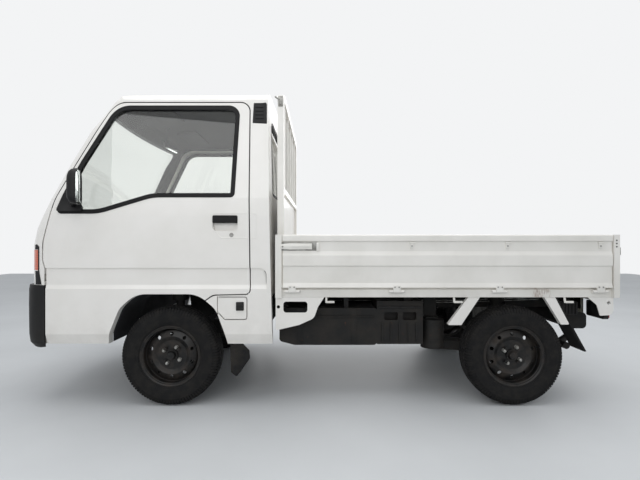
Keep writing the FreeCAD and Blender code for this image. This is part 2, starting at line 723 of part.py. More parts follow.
# rim and disc: radius, outward offset, corner radius
lip = RIM_LIP_D / 2
rim_points = [
    (RIM_R - BARREL_T, -RIM_W / 2, 0.0),
    (RIM_R - BARREL_T, 8.0, 3.0),
    (134.0, 20.0, 8.0),
    (104.0, 34.0, 6.0),
    (84.0, 22.0, 8.0),
    (HUB_R - 2.0, 22.0, 0.0),
    (HUB_R - 2.0, 22.0 + DISC_T, 0.0),
    (82.0, 22.0 + DISC_T, 8.0),
    (104.0, 34.0 + DISC_T + 1.0, 6.0),
    (137.0, 20.0 + DISC_T, 8.0),
    (RIM_R - BARREL_T, 8.0 + DISC_T + 1.0, 3.0),
    (RIM_R - BARREL_T, RIM_W / 2 - 6.0, 6.0),
    (lip - 5.0, RIM_W / 2 + 4.0, 3.0),
    (lip, RIM_W / 2 + 4.0, 2.0),
    (lip, RIM_W / 2, 0.0),
    (RIM_R, RIM_W / 2, 0.0),
    (RIM_R, -RIM_W / 2, 0.0),
    (lip, -RIM_W / 2, 0.0),
    (lip, -RIM_W / 2 - 4.0, 2.0),
    (lip - 5.0, -RIM_W / 2 - 4.0, 3.0),
]
VENT_CIRCLE_R = 118.0
VENT_R = 10.0


def wheel_rim(centre_x, wheel_y, outward):
    """A pressed steel wheel with its hub, vent holes and nuts, bored for the spindle."""
    rim = turned(rim_points, centre_x, wheel_y, outward)
    hub_way = Vector(0.0, outward, 0.0)
    hub_start = Vector(centre_x, wheel_y + outward * HUB_IN, AXLE_Z)
    hub = Part.makeCylinder(HUB_R, HUB_OUT - HUB_IN, hub_start, hub_way)
    cap_start = Vector(centre_x, wheel_y + outward * HUB_OUT, AXLE_Z)
    cap = Part.makeCone(HUB_R - 6.0, HUB_R - 12.0, 16.0, cap_start, hub_way)
    rim = rim.fuse([hub, cap])
    tools = []
    for i in range(VENTS):
        turn = 2 * math.pi * (i + 0.5) / VENTS
        x = centre_x + VENT_CIRCLE_R * math.cos(turn)
        z = AXLE_Z + VENT_CIRCLE_R * math.sin(turn)
        tools.append(rod((x, wheel_y - 60.0, z), (x, wheel_y + 60.0, z), VENT_R))
    bore_length = HUB_OUT - HUB_IN - 6.0
    tools.append(Part.makeCylinder(SPINDLE_R + PIN_FIT, bore_length, hub_start, hub_way))
    rim = rim.cut(tools)
    nuts = []
    for i in range(STUDS):
        turn = 2 * math.pi * (i + 0.5) / STUDS
        x = centre_x + STUD_CIRCLE_D / 2 * math.cos(turn)
        z = AXLE_Z + STUD_CIRCLE_D / 2 * math.sin(turn)
        y0 = wheel_y + outward * (22.0 + DISC_T - 1.0)
        y1 = wheel_y + outward * (22.0 + DISC_T + 15.0)
        nuts.append(rod((x, y0, z), (x, y1, z), 9.0))
    return rim.fuse(nuts).removeSplitter()


WHEELS = [
    ("front_left", FRONT_AXLE_X, -1.0),
    ("front_right", FRONT_AXLE_X, 1.0),
    ("rear_left", REAR_AXLE_X, -1.0),
    ("rear_right", REAR_AXLE_X, 1.0),
]
for place, axle_x, side in WHEELS:
    keep("tyre_" + place, turned(tyre_points, axle_x, side * WHEEL_Y, side))
    keep("rim_" + place, wheel_rim(axle_x, side * WHEEL_Y, side))

# ================================================================ hubs, knuckles and suspension
KINGPIN_Y = -490.0
KINGPIN_R = 12.0
UPRIGHT_HALF = 22.0
UPRIGHT_Z0 = 190.0
UPRIGHT_Z1 = 352.0
DRUM_R = 105.0
DRUM_IN_Y = -WHEEL_Y + 66.0
DRUM_OUT_Y = -WHEEL_Y + 19.0


def spindle_and_drum(axle_x, root_y):
    """A brake drum with the spindle through it, joined to what carries it at root_y."""
    spindle_end = -WHEEL_Y - HUB_OUT + 8.0
    spindle = rod((axle_x, root_y, AXLE_Z), (axle_x, spindle_end, AXLE_Z), SPINDLE_R)
    drum = rod((axle_x, DRUM_IN_Y, AXLE_Z), (axle_x, DRUM_OUT_Y, AXLE_Z), DRUM_R)
    return [spindle, drum]


upright = box(FRONT_AXLE_X - UPRIGHT_HALF, FRONT_AXLE_X + UPRIGHT_HALF,
              DRUM_IN_Y - 1.0, KINGPIN_Y + UPRIGHT_HALF, UPRIGHT_Z0, UPRIGHT_Z1)
knuckle = fuse([upright] + spindle_and_drum(FRONT_AXLE_X, KINGPIN_Y))
kingpin_top = Part.makeCylinder(KINGPIN_R + PIN_FIT, 40.0,
                                Vector(FRONT_AXLE_X, KINGPIN_Y, UPRIGHT_Z1 - 40.0))
kingpin_foot = Part.makeCylinder(KINGPIN_R + PIN_FIT, 40.0,
                                 Vector(FRONT_AXLE_X, KINGPIN_Y, UPRIGHT_Z0))
knuckle = knuckle.cut([kingpin_top, kingpin_foot])
keep("knuckle_left", knuckle)
keep("knuckle_right", mirrored(knuckle))

FRAME_Y0 = 270.0
FRAME_Y1 = 330.0
FRAME_FRONT_Z0 = 325.0
FRAME_FRONT_Z1 = 405.0
FRAME_Z0 = 490.0
BED_BEAM_Z0 = 596.0
STRUT_R = 24.0
SPRING_R = 46.0
strut_top = SEAT_BOX_Z - FLOOR_T
strut = fuse([
    rod((FRONT_AXLE_X, KINGPIN_Y, UPRIGHT_Z1 - 40.0), (FRONT_AXLE_X, KINGPIN_Y, strut_top), KINGPIN_R),
    rod((FRONT_AXLE_X, KINGPIN_Y, UPRIGHT_Z1 + 5.0), (FRONT_AXLE_X, KINGPIN_Y, strut_top), STRUT_R),
    rod((FRONT_AXLE_X, KINGPIN_Y, TYRE_D + 18.0), (FRONT_AXLE_X, KINGPIN_Y, strut_top), SPRING_R),
])
arm_low = UPRIGHT_Z0 - 5.0
arm_plan = [
    (FRONT_AXLE_X - 18.0, KINGPIN_Y - 16.0, 8.0),
    (FRONT_AXLE_X + 18.0, KINGPIN_Y - 16.0, 8.0),
    (FRONT_AXLE_X + 150.0, -FRAME_Y0, 0.0),
    (FRONT_AXLE_X + 90.0, -FRAME_Y0, 0.0),
    (FRONT_AXLE_X, -400.0, 20.0),
    (FRONT_AXLE_X - 30.0, -FRAME_Y0, 0.0),
    (FRONT_AXLE_X - 60.0, -FRAME_Y0, 0.0),
]
arm_plate = plan_prism(arm_plan, arm_low - 22.0, arm_low)
arm_pin = rod((FRONT_AXLE_X, KINGPIN_Y, arm_low - 10.0), (FRONT_AXLE_X, KINGPIN_Y, UPRIGHT_Z0 + 38.0),
              KINGPIN_R)
hanger_front = box(FRONT_AXLE_X - 60.0, FRONT_AXLE_X - 30.0, -FRAME_Y1, -FRAME_Y0,
                   arm_low - 22.0, FRAME_FRONT_Z0)
hanger_back = box(FRONT_AXLE_X + 95.0, FRONT_AXLE_X + 125.0, -FRAME_Y1, -FRAME_Y0,
                  arm_low - 22.0, FRAME_FRONT_Z0)
front_arm = fuse([arm_plate, arm_pin, hanger_front, hanger_back])

# rear hubs ride on trailing arms from the frame
PIVOT_X = REAR_AXLE_X - 400.0
CARRIER_Y = -500.0
CARRIER_IN_Y = -395.0
CARRIER_HALF = 30.0
CARRIER_TOP = AXLE_Z + 60.0
REAR_SPRING_Y = -440.0
REAR_SPRING_R = 40.0
TRAIL_Z0 = AXLE_Z - 25.0
TRAIL_Z1 = AXLE_Z + 30.0
HALF_SHAFT_R = 14.0
trail_plan = [
    (PIVOT_X - 20.0, -390.0, 10.0),
    (PIVOT_X + 30.0, -390.0, 10.0),
    (REAR_AXLE_X - CARRIER_HALF, CARRIER_Y - 10.0, 0.0),
    (REAR_AXLE_X - CARRIER_HALF, CARRIER_Y + 45.0, 0.0),
    (PIVOT_X + 90.0, -FRAME_Y0, 10.0),
    (PIVOT_X - 20.0, -FRAME_Y0, 10.0),
]
trail = plan_prism(trail_plan, TRAIL_Z0, TRAIL_Z1)
carrier = box(REAR_AXLE_X - CARRIER_HALF, REAR_AXLE_X + CARRIER_HALF, DRUM_IN_Y - 1.0, CARRIER_IN_Y,
              AXLE_Z - 45.0, CARRIER_TOP)
hub_carrier = fuse([carrier] + spindle_and_drum(REAR_AXLE_X, CARRIER_Y))
pivot = box(PIVOT_X - 20.0, PIVOT_X + 20.0, -FRAME_Y1, -FRAME_Y0, TRAIL_Z1, FRAME_Z0)
rear_spring = rod((REAR_AXLE_X, REAR_SPRING_Y, CARRIER_TOP), (REAR_AXLE_X, REAR_SPRING_Y, BED_BEAM_Z0),
                  REAR_SPRING_R)
shaft = rod((REAR_AXLE_X, CARRIER_IN_Y, AXLE_Z), (REAR_AXLE_X, -CARRIER_IN_Y, AXLE_Z), HALF_SHAFT_R)
suspension = []
for piece in (strut, front_arm, trail, hub_carrier, pivot, rear_spring):
    suspension += [piece, mirrored(piece)]
keep("suspension", Part.makeCompound(suspension + [shaft]))

# ================================================================ chassis frame
FRAME_X0 = NOSE_X + 120.0
FRAME_X1 = TAIL_X - 45.0
KICK_X0 = -420.0
KICK_X1 = -200.0
rail_side = [
    (FRAME_X0, FRAME_FRONT_Z0, 0.0),
    (FRAME_X0, FRAME_FRONT_Z1, 0.0),
    (KICK_X0 - 40.0, FRAME_FRONT_Z1, 60.0),
    (KICK_X1 - 40.0, BED_BEAM_Z0, 60.0),
    (FRAME_X1, BED_BEAM_Z0, 0.0),
    (FRAME_X1, FRAME_Z0, 0.0),
    (KICK_X1 + 10.0, FRAME_Z0, 60.0),
    (KICK_X0, FRAME_FRONT_Z0, 60.0),
]
rail = side_prism(rail_side, -FRAME_Y1, -FRAME_Y0)
# crossmembers: x, width, bottom, top
CROSSMEMBERS = [
    (FRAME_X0 + 40.0, 60.0, FRAME_FRONT_Z0, FRAME_FRONT_Z1),
    (FRONT_AXLE_X + 110.0, 60.0, FRAME_FRONT_Z0, FRAME_FRONT_Z1),
    (200.0, 60.0, FRAME_Z0, BED_BEAM_Z0),
    (PIVOT_X + 60.0, 60.0, FRAME_Z0, BED_BEAM_Z0),
    (FRAME_X1 - 40.0, 70.0, FRAME_Z0, BED_BEAM_Z0),
]
frame_pieces = [rail, mirrored(rail)]
for x, wide_x, z0, z1 in CROSSMEMBERS:
    frame_pieces.append(box(x - wide_x / 2, x + wide_x / 2, -FRAME_Y0 - 5.0, FRAME_Y0 + 5.0, z0, z1))
# floor brackets: posts that carry the cab's floor on the front rails
for x in (FRAME_X0 + 60.0, RISER_X - 60.0):
    post = box(x - 30.0, x + 30.0, -FRAME_Y1, -FRAME_Y0, FRAME_FRONT_Z1 - 5.0, FLOOR_Z - FLOOR_T)
    frame_pieces += [post, mirrored(post)]
post = box(-520.0, -470.0, -FRAME_Y1, -FRAME_Y0, FRAME_FRONT_Z1 - 5.0, SEAT_BOX_Z - FLOOR_T)
frame_pieces += [post, mirrored(post)]
# the engine hangs from its own beam between the rails
SILENCER_X0 = TAIL_X - 155.5
SILENCER_X1 = TAIL_X - 43.5
ENGINE_X0 = REAR_AXLE_X + 92.5
ENGINE_X1 = SILENCER_X0 - 32.0
ENGINE_HALF = 240.0
ENGINE_Z0 = 235.0
engine_mid = (ENGINE_X0 + ENGINE_X1) / 2
frame_pieces.append(box(engine_mid - 30.0, engine_mid + 30.0, -FRAME_Y0 - 5.0, FRAME_Y0 + 5.0,
                        FRAME_Z0, FRAME_Z0 + 50.0))
keep("chassis_frame", fuse(frame_pieces))

# the engine lies across the truck: crankcase and sump to the right, bell housing and gearbox to the
# left, and the final drive reaching forwards round the half shafts
CRANK_Y0 = -70.0
CRANK_Y1 = 195.0
CRANK_Z0 = 300.0
GEAR_Z = 370.0
BELL_R = 118.0
BELL_SMALL_R = 84.0
BELL_END_Y = -150.0
FINAL_R = 58.0
FINAL_Y0 = -142.0
FINAL_Y1 = -72.0
SHAFT_GAP = 0.3
crankcase_side = [
    (ENGINE_X0, CRANK_Z0, 12.0),
    (ENGINE_X0, FRAME_Z0, 12.0),
    (ENGINE_X1 - 60.0, FRAME_Z0, 12.0),
    (ENGINE_X1 - 10.0, 455.0, 12.0),
    (ENGINE_X1 - 30.0, CRANK_Z0, 12.0),
]
sump_side = [
    (ENGINE_X0 + 45.0, ENGINE_Z0, 22.0),
    (ENGINE_X0 + 20.0, CRANK_Z0 + 5.0, 0.0),
    (ENGINE_X1 - 45.0, CRANK_Z0 + 5.0, 0.0),
    (ENGINE_X1 - 70.0, ENGINE_Z0, 22.0),
]
final_arm_side = [
    (REAR_AXLE_X, AXLE_Z - 48.0, 0.0),
    (REAR_AXLE_X, AXLE_Z + 48.0, 0.0),
    (engine_mid, GEAR_Z + 60.0, 0.0),
    (engine_mid, GEAR_Z - 60.0, 0.0),
]
across_left = Vector(0.0, -1.0, 0.0)
engine = [
    side_prism(crankcase_side, CRANK_Y0, CRANK_Y1),
    side_prism(sump_side, CRANK_Y0 + 12.0, CRANK_Y1 - 12.0),
    Part.makeCone(BELL_R, BELL_SMALL_R, CRANK_Y0 - BELL_END_Y, Vector(engine_mid, CRANK_Y0, GEAR_Z),
                  across_left),
    rod((engine_mid, BELL_END_Y, GEAR_Z), (engine_mid, -ENGINE_HALF, GEAR_Z), BELL_SMALL_R - 4.0),
    rod((REAR_AXLE_X, FINAL_Y0, AXLE_Z), (REAR_AXLE_X, FINAL_Y1, AXLE_Z), FINAL_R),
    side_prism(final_arm_side, FINAL_Y0 + 6.0, FINAL_Y1 - 6.0),
    rod((engine_mid - 10.0, CRANK_Y1 - 5.0, 345.0), (engine_mid - 10.0, CRANK_Y1 + 24.0, 345.0), 62.0),
    rod((ENGINE_X0 + 45.0, 120.0, 435.0), (ENGINE_X0 + 45.0, CRANK_Y1 + 24.0, 435.0), 50.0),
]
shaft_way = rod((REAR_AXLE_X, -ENGINE_HALF, AXLE_Z), (REAR_AXLE_X, 0.0, AXLE_Z), HALF_SHAFT_R + SHAFT_GAP)
keep("engine_block", fuse(engine).cut(shaft_way))


# ================================================================ bed
BED_X0 = -218.0
POST_FRONT_X = -184.0
POST_BACK_X = TAIL_X - 38.0
RAIL_TOP_Z = 937.0
GATE_FOOT_Z = 650.0
FLOOR_PLATE_Z0 = 640.0
FLOOR_PLATE_Z1 = 652.0
FLOOR_HALF = HALF - 36.0
SILL_FACE = HALF - 21.5
SILL_T = 4.0
BEAM_W = 50.0
FIRST_BEAM_X = BED_X0 + 28.0
LAST_BEAM_X = POST_BACK_X - 39.5
BEAMS_TO_AXLE = 4
HOOK_XS = [BED_X0 + 298.0, REAR_AXLE_X - 309.5, REAR_AXLE_X + 294.5]
HEAD_SILL_X1 = -174.0

SILL_DEPTH = 34.0
FRONT_POST_W = 45.0
TAIL_POST_W = 40.0
REAR_SILL_Z0 = 560.0
HOOK_R = 6.0
HOOK_HALF = 22.0
HOOK_DROP = 26.0

beam_half = SILL_FACE - SILL_DEPTH
# one beam lies over the rear springs
beam_xs = [FIRST_BEAM_X + (REAR_AXLE_X - FIRST_BEAM_X) * i / BEAMS_TO_AXLE for i in range(BEAMS_TO_AXLE)]
beam_xs += [REAR_AXLE_X, (REAR_AXLE_X + LAST_BEAM_X) / 2, LAST_BEAM_X]
beams = []
for x in beam_xs:
    beams.append(box(x - BEAM_W / 2, x + BEAM_W / 2, -beam_half, beam_half, BED_BEAM_Z0, FLOOR_PLATE_Z0))
sill_side = [
    (-SILL_FACE, BED_BEAM_Z0, 3.0),
    (-SILL_FACE, FLOOR_PLATE_Z0, 3.0),
    (-beam_half, FLOOR_PLATE_Z0, 0.0),
    (-beam_half, FLOOR_PLATE_Z0 - SILL_T, 0.0),
    (-SILL_FACE + SILL_T, FLOOR_PLATE_Z0 - SILL_T, 2.0),
    (-SILL_FACE + SILL_T, BED_BEAM_Z0 + SILL_T, 2.0),
    (-beam_half, BED_BEAM_Z0 + SILL_T, 0.0),
    (-beam_half, BED_BEAM_Z0, 0.0),
]
sill = front_prism(sill_side, BED_X0, POST_BACK_X)
front_post = box(BED_X0, POST_FRONT_X, -HALF, -HALF + FRONT_POST_W, BED_BEAM_Z0, RAIL_TOP_Z)
tail_post = box(POST_BACK_X, TAIL_X - 6.0, -HALF, -HALF + TAIL_POST_W, BED_BEAM_Z0, RAIL_TOP_Z)
bed_side = [sill, front_post, tail_post]
for x in HOOK_XS:
    bed_side.append(tube([(x - HOOK_HALF, -SILL_FACE + 12.0, BED_BEAM_Z0 + 2.0),
                          (x - HOOK_HALF, -SILL_FACE + 4.0, BED_BEAM_Z0 - HOOK_DROP),
                          (x + HOOK_HALF, -SILL_FACE + 4.0, BED_BEAM_Z0 - HOOK_DROP)], HOOK_R))
floor_plate = box(HEAD_SILL_X1, POST_BACK_X, -FLOOR_HALF, FLOOR_HALF, FLOOR_PLATE_Z0, FLOOR_PLATE_Z1)
head_sill = box(BED_X0, HEAD_SILL_X1, -FLOOR_HALF, FLOOR_HALF, FLOOR_PLATE_Z0, FLOOR_PLATE_Z1)
head_sill = head_sill.cut(both_sides(front_post))
rear_sill = box(POST_BACK_X, TAIL_X - 21.5, -HALF + TAIL_POST_W, HALF - TAIL_POST_W,
                REAR_SILL_Z0, FLOOR_PLATE_Z0 + 2.0)

# ---------------------------------------------------------------- gate hinges
GATE_AXIS_Z = 630.0
GATE_AXIS_IN = 8.0
GATE_BARREL_R = 8.0
GATE_PIN_R = 3.0
KNUCKLE_W = 40.0
SIDE_W = 20.0
KNUCKLE_GAP = 1.0
# middles of the hinges along each side, and across the tail
SIDE_HINGES = [BED_X0 + 91.0, BED_X0 + 657.0, TAIL_X - 652.5, TAIL_X - 107.5]
TAIL_HINGES = [-480.0, 0.0, 480.0]

# gate section: outward offset from the outer face, z, corner radius
GATE_SECTION = [
    (0.0, GATE_FOOT_Z, 2.0),
    (7.5, 676.0, 4.0),
    (7.5, 764.0, 3.0),
    (0.0, 770.0, 3.0),
    (0.0, 825.0, 4.0),
    (8.5, 847.0, 4.0),
    (8.5, 899.0, 3.0),
    (0.0, 902.0, 5.0),
    (0.0, RAIL_TOP_Z, 8.0),
    (36.0, RAIL_TOP_Z, 8.0),
    (36.0, 902.0, 5.0),
    (29.0, 896.0, 3.0),
    (29.0, GATE_FOOT_Z, 2.0),
]


def side_gate():
    """The left side gate with its hinge barrels and latch lever."""
    section = [(-HALF + u, v, r) for u, v, r in GATE_SECTION]
    panel = front_prism(section, POST_FRONT_X + SHUT_GAP, POST_BACK_X - SHUT_GAP)
    pieces = [panel]
    axis_y = -HALF + GATE_AXIS_IN
    for x in SIDE_HINGES:
        pieces.append(rod((x - KNUCKLE_W / 2, axis_y, GATE_AXIS_Z),
                          (x + KNUCKLE_W / 2, axis_y, GATE_AXIS_Z), GATE_BARREL_R))
        pieces.append(box(x - KNUCKLE_W / 2, x + KNUCKLE_W / 2, -HALF, -HALF + 12.0,
                          GATE_AXIS_Z, GATE_FOOT_Z + 12.0))
    lever = box(BED_X0 + 74.0, BED_X0 + 198.0, -HALF - 3.0, -HALF + 9.0, 858.0, 890.0)
    pieces.append(lever)
    bore = rod((BED_X0, axis_y, GATE_AXIS_Z), (TAIL_X, axis_y, GATE_AXIS_Z), GATE_PIN_R + PIN_FIT)
    return fuse(pieces).cut(bore)


def side_hinge_seats():
    """The bed's halves of the left gate's hinges, with their pins."""
    axis_y = -HALF + GATE_AXIS_IN
    pieces = []
    for x in SIDE_HINGES:
        for way in (-1.0, 1.0):
            near = x + way * (KNUCKLE_W / 2 + KNUCKLE_GAP)
            far = near + way * SIDE_W
            pieces.append(rod((near, axis_y, GATE_AXIS_Z), (far, axis_y, GATE_AXIS_Z), GATE_BARREL_R))
            pieces.append(box(near, far, axis_y, -SILL_FACE + 1.0, GATE_AXIS_Z - 8.0, GATE_AXIS_Z + 4.0))
        reach = KNUCKLE_W / 2 + KNUCKLE_GAP + SIDE_W
        pieces.append(rod((x - reach, axis_y, GATE_AXIS_Z), (x + reach, axis_y, GATE_AXIS_Z), GATE_PIN_R))
    return pieces


TAIL_HALF = HALF - TAIL_POST_W - SHUT_GAP


def tail_gate():
    """The tail gate with its hinge barrels."""
    section = [(TAIL_X - u, v, r) for u, v, r in GATE_SECTION]
    panel = side_prism(section, -TAIL_HALF, TAIL_HALF)
    axis_x = TAIL_X - GATE_AXIS_IN
    pieces = [panel]
    for y in TAIL_HINGES:
        pieces.append(rod((axis_x, y - KNUCKLE_W / 2, GATE_AXIS_Z),
                          (axis_x, y + KNUCKLE_W / 2, GATE_AXIS_Z), GATE_BARREL_R))
        pieces.append(box(TAIL_X - 12.0, TAIL_X, y - KNUCKLE_W / 2, y + KNUCKLE_W / 2,
                          GATE_AXIS_Z, GATE_FOOT_Z + 12.0))
    bore = rod((axis_x, -HALF, GATE_AXIS_Z), (axis_x, HALF, GATE_AXIS_Z), GATE_PIN_R + PIN_FIT)
    return fuse(pieces).cut(bore)


def tail_hinge_seats():
    """The bed's halves of the tail gate's hinges, with their pins."""
    axis_x = TAIL_X - GATE_AXIS_IN
    pieces = []
    for y in TAIL_HINGES:
        for way in (-1.0, 1.0):
            near = y + way * (KNUCKLE_W / 2 + KNUCKLE_GAP)
            far = near + way * SIDE_W
            pieces.append(rod((axis_x, near, GATE_AXIS_Z), (axis_x, far, GATE_AXIS_Z), GATE_BARREL_R))
            pieces.append(box(TAIL_X - 22.5, axis_x, near, far, GATE_AXIS_Z - 8.0, GATE_AXIS_Z + 4.0))
        reach = KNUCKLE_W / 2 + KNUCKLE_GAP + SIDE_W
        pieces.append(rod((axis_x, y - reach, GATE_AXIS_Z), (axis_x, y + reach, GATE_AXIS_Z), GATE_PIN_R))
    return pieces


gate = side_gate()
keep("gate_left", gate)
keep("gate_right", mirrored(gate))
keep("gate_tail", tail_gate())
bed_left = fuse(bed_side + side_hinge_seats())
bed_tail = fuse([rear_sill] + tail_hinge_seats())
keep("bed", Part.makeCompound([floor_plate, head_sill, bed_left, mirrored(bed_left), bed_tail] + beams))

# ---------------------------------------------------------------- guard frame behind the cab
GUARD_X0 = BED_X0 + 4.0
GUARD_X1 = GUARD_X0 + 36.0
GUARD_HALF = HALF - FRONT_POST_W - 30.5
GUARD_TOP_Z = 1738.0
GUARD_MID_Z = 1190.0
BAR_R = 12.0
BAR_YS = [-420.0, -210.0, 0.0, 210.0, 420.0]
guard_x = (GUARD_X0 + GUARD_X1) / 2
guard_face = [
    (-GUARD_HALF, FLOOR_PLATE_Z1, 0.0),
    (-GUARD_HALF, GUARD_TOP_Z, 70.0),
    (GUARD_HALF, GUARD_TOP_Z, 70.0),
    (GUARD_HALF, FLOOR_PLATE_Z1, 0.0),
]
guard_hole = [
    (-GUARD_HALF + 34.0, FLOOR_PLATE_Z1 - 5.0, 0.0),
    (-GUARD_HALF + 34.0, GUARD_TOP_Z - 34.0, 40.0),
    (GUARD_HALF - 34.0, GUARD_TOP_Z - 34.0, 40.0),
    (GUARD_HALF - 34.0, FLOOR_PLATE_Z1 - 5.0, 0.0),
]
hoop = front_prism(guard_face, GUARD_X0, GUARD_X1)
hoop = hoop.cut(front_prism(guard_hole, GUARD_X0 - 5.0, GUARD_X1 + 5.0))
cross_rail = box(GUARD_X0, GUARD_X1, -GUARD_HALF + 30.0, GUARD_HALF - 30.0,
                 GUARD_MID_Z - 15.0, GUARD_MID_Z + 15.0)
board = box(GUARD_X0 + 6.0, GUARD_X0 + 22.0, -GUARD_HALF + 10.0, GUARD_HALF - 10.0,
            FLOOR_PLATE_Z1, GUARD_MID_Z)
guard_pieces = [hoop, cross_rail, board]
for y in BAR_YS:
    guard_pieces.append(rod((guard_x, y, GUARD_MID_Z), (guard_x, y, GUARD_TOP_Z - 20.0), BAR_R))
keep("guard_frame", fuse(guard_pieces))

# ================================================================ skirts and splash guards
# plate behind the cab: x, z, corner radius
FRONT_SKIRT = [
    (BED_X0, BED_BEAM_Z0, 0.0),
    (BED_X0 + 264.0, BED_BEAM_Z0, 0.0),
    (BED_X0 + 231.0, 545.0, 20.0),
    (BED_X0 + 208.0, 482.0, 40.0),
    (BED_X0 + 128.0, 446.0, 40.0),
    (BED_X0, 416.0, 10.0),
]
SKIRT_SLOT = [
    (BED_X0 + 42.0, 513.0, 16.0),
    (BED_X0 + 42.0, 573.0, 16.0),
    (BED_X0 + 173.0, 573.0, 16.0),
    (BED_X0 + 173.0, 513.0, 16.0),
]
REAR_SKIRT = [
    (TAIL_X - 165.5, BED_BEAM_Z0, 0.0),
    (TAIL_X - 26.5, BED_BEAM_Z0, 0.0),
    (TAIL_X - 26.5, 500.0, 30.0),
    (TAIL_X - 99.5, 496.0, 6.0),
    (TAIL_X - 117.5, 555.0, 20.0),
]
FRONT_STAY = [
    (REAR_AXLE_X - 254.5, BED_BEAM_Z0, 0.0),
    (REAR_AXLE_X - 190.5, BED_BEAM_Z0, 0.0),
    (REAR_AXLE_X - 292.5, 444.0, 5.0),
    (REAR_AXLE_X - 368.5, 444.0, 5.0),
]
REAR_STAY = [
    (REAR_AXLE_X + 160.5, BED_BEAM_Z0, 0.0),
    (REAR_AXLE_X + 219.5, BED_BEAM_Z0, 0.0),
    (REAR_AXLE_X + 297.5, 447.0, 5.0),
    (REAR_AXLE_X + 252.5, 447.0, 5.0),
]
SKIRT_T = 4.0
skirt_y0 = -SILL_FACE
skirt = side_prism(FRONT_SKIRT, skirt_y0, skirt_y0 + SKIRT_T)
skirt = skirt.cut(side_prism(SKIRT_SLOT, skirt_y0 - 5.0, skirt_y0 + 10.0))
skirt_hole_x = BED_X0 + 15.0
skirt = skirt.cut(rod((skirt_hole_x, skirt_y0 - 5.0, 544.0), (skirt_hole_x, skirt_y0 + 10.0, 544.0), 9.0))
rear_skirt = side_prism(REAR_SKIRT, skirt_y0, skirt_y0 + SKIRT_T)
tow_hole_x = TAIL_X - 51.5
tow_hole = rod((tow_hole_x, skirt_y0 - 5.0, 566.0), (tow_hole_x, skirt_y0 + 10.0, 566.0), 9.0)
rear_skirt = rear_skirt.cut(tow_hole)
stays = [side_prism(line, skirt_y0 + 6.0, skirt_y0 + 32.0) for line in (FRONT_STAY, REAR_STAY)]
skirts = [skirt, rear_skirt] + stays
keep("side_skirts", Part.makeCompound(skirts + [mirrored(piece) for piece in skirts]))

FRONT_FLAP = [
    (-466.0, CAB_BOTTOM_Z, 0.0),
    (-400.0, CAB_BOTTOM_Z, 0.0),
    (-362.0, 305.0, 14.0),
    (-359.0, 262.0, 20.0),
    (-432.0, 160.0, 14.0),
    (-461.0, 187.0, 10.0),
]
front_flap = side_prism(FRONT_FLAP, -HALF + 25.0, -HALF + 33.0)
REAR_FLAP = [
    (REAR_AXLE_X + 221.5, BED_BEAM_Z0, 0.0),
    (REAR_AXLE_X + 230.5, BED_BEAM_Z0, 0.0),
    (REAR_AXLE_X + 309.5, 450.0, 60.0),
    (REAR_AXLE_X + 392.5, 300.0, 0.0),
    (REAR_AXLE_X + 383.5, 297.0, 0.0),
    (REAR_AXLE_X + 300.5, 447.0, 60.0),
]
rear_flap = side_prism(REAR_FLAP, skirt_y0 + 10.0, skirt_y0 + 140.0)
flaps = [front_flap, rear_flap]
keep("splash_flaps", Part.makeCompound(flaps + [mirrored(piece) for piece in flaps]))

# ================================================================ what hangs under the bed
TANK_Y0 = -600.0
TANK_Y1 = -345.0
TANK_X0 = BED_X0 + 13.0
TANK_X1 = REAR_AXLE_X - 743.5
TANK_TOP_Z = 526.0
TANK_SIDE = [
    (TANK_X0, 340.0, 20.0),
    (TANK_X0, TANK_TOP_Z, 14.0),
    (TANK_X1, TANK_TOP_Z, 14.0),
    (TANK_X1, 318.0, 20.0),
    (TANK_X0 + 85.0, 318.0, 30.0),
]
tank = side_prism(TANK_SIDE, TANK_Y0, TANK_Y1)
STRAP_XS = [TANK_X0 + 28.0, TANK_X1 - 172.0]
STRAP_W = 25.0
HANG_Y0 = TANK_Y0 + 20.0
fuel_tank = [tank]
for x in STRAP_XS:
    fuel_tank.append(box(x - STRAP_W / 2, x + STRAP_W / 2, HANG_Y0, TANK_Y1, TANK_TOP_Z, BED_BEAM_Z0))
keep("fuel_tank", Part.makeCompound(fuel_tank))

CASE_X0 = TANK_X1
CASE_X1 = REAR_AXLE_X - 484.5
CASE_Z0 = 323.0
CASE_Z1 = 565.0
CASE_SLOT_XS = [CASE_X0 + 80.0, CASE_X0 + 184.0]
CASE_SLOT_HALF = 38.0
CASE_SLOT_DEPTH = 40.0
case = box(CASE_X0, CASE_X1, TANK_Y0, TANK_Y1, CASE_Z0, CASE_Z1)
for x in CASE_SLOT_XS:
    slot = [
        (x - CASE_SLOT_HALF, 458.0, 8.0),
        (x - CASE_SLOT_HALF, 502.0, 8.0),
        (x + CASE_SLOT_HALF, 502.0, 8.0),
        (x + CASE_SLOT_HALF, 458.0, 8.0),
    ]
    case = case.cut(side_prism(slot, TANK_Y0 - 5.0, TANK_Y0 + CASE_SLOT_DEPTH))
case_hanger = box(CASE_X0 + 156.0, CASE_X0 + 196.0, HANG_Y0, TANK_Y1, CASE_Z1, BED_BEAM_Z0)

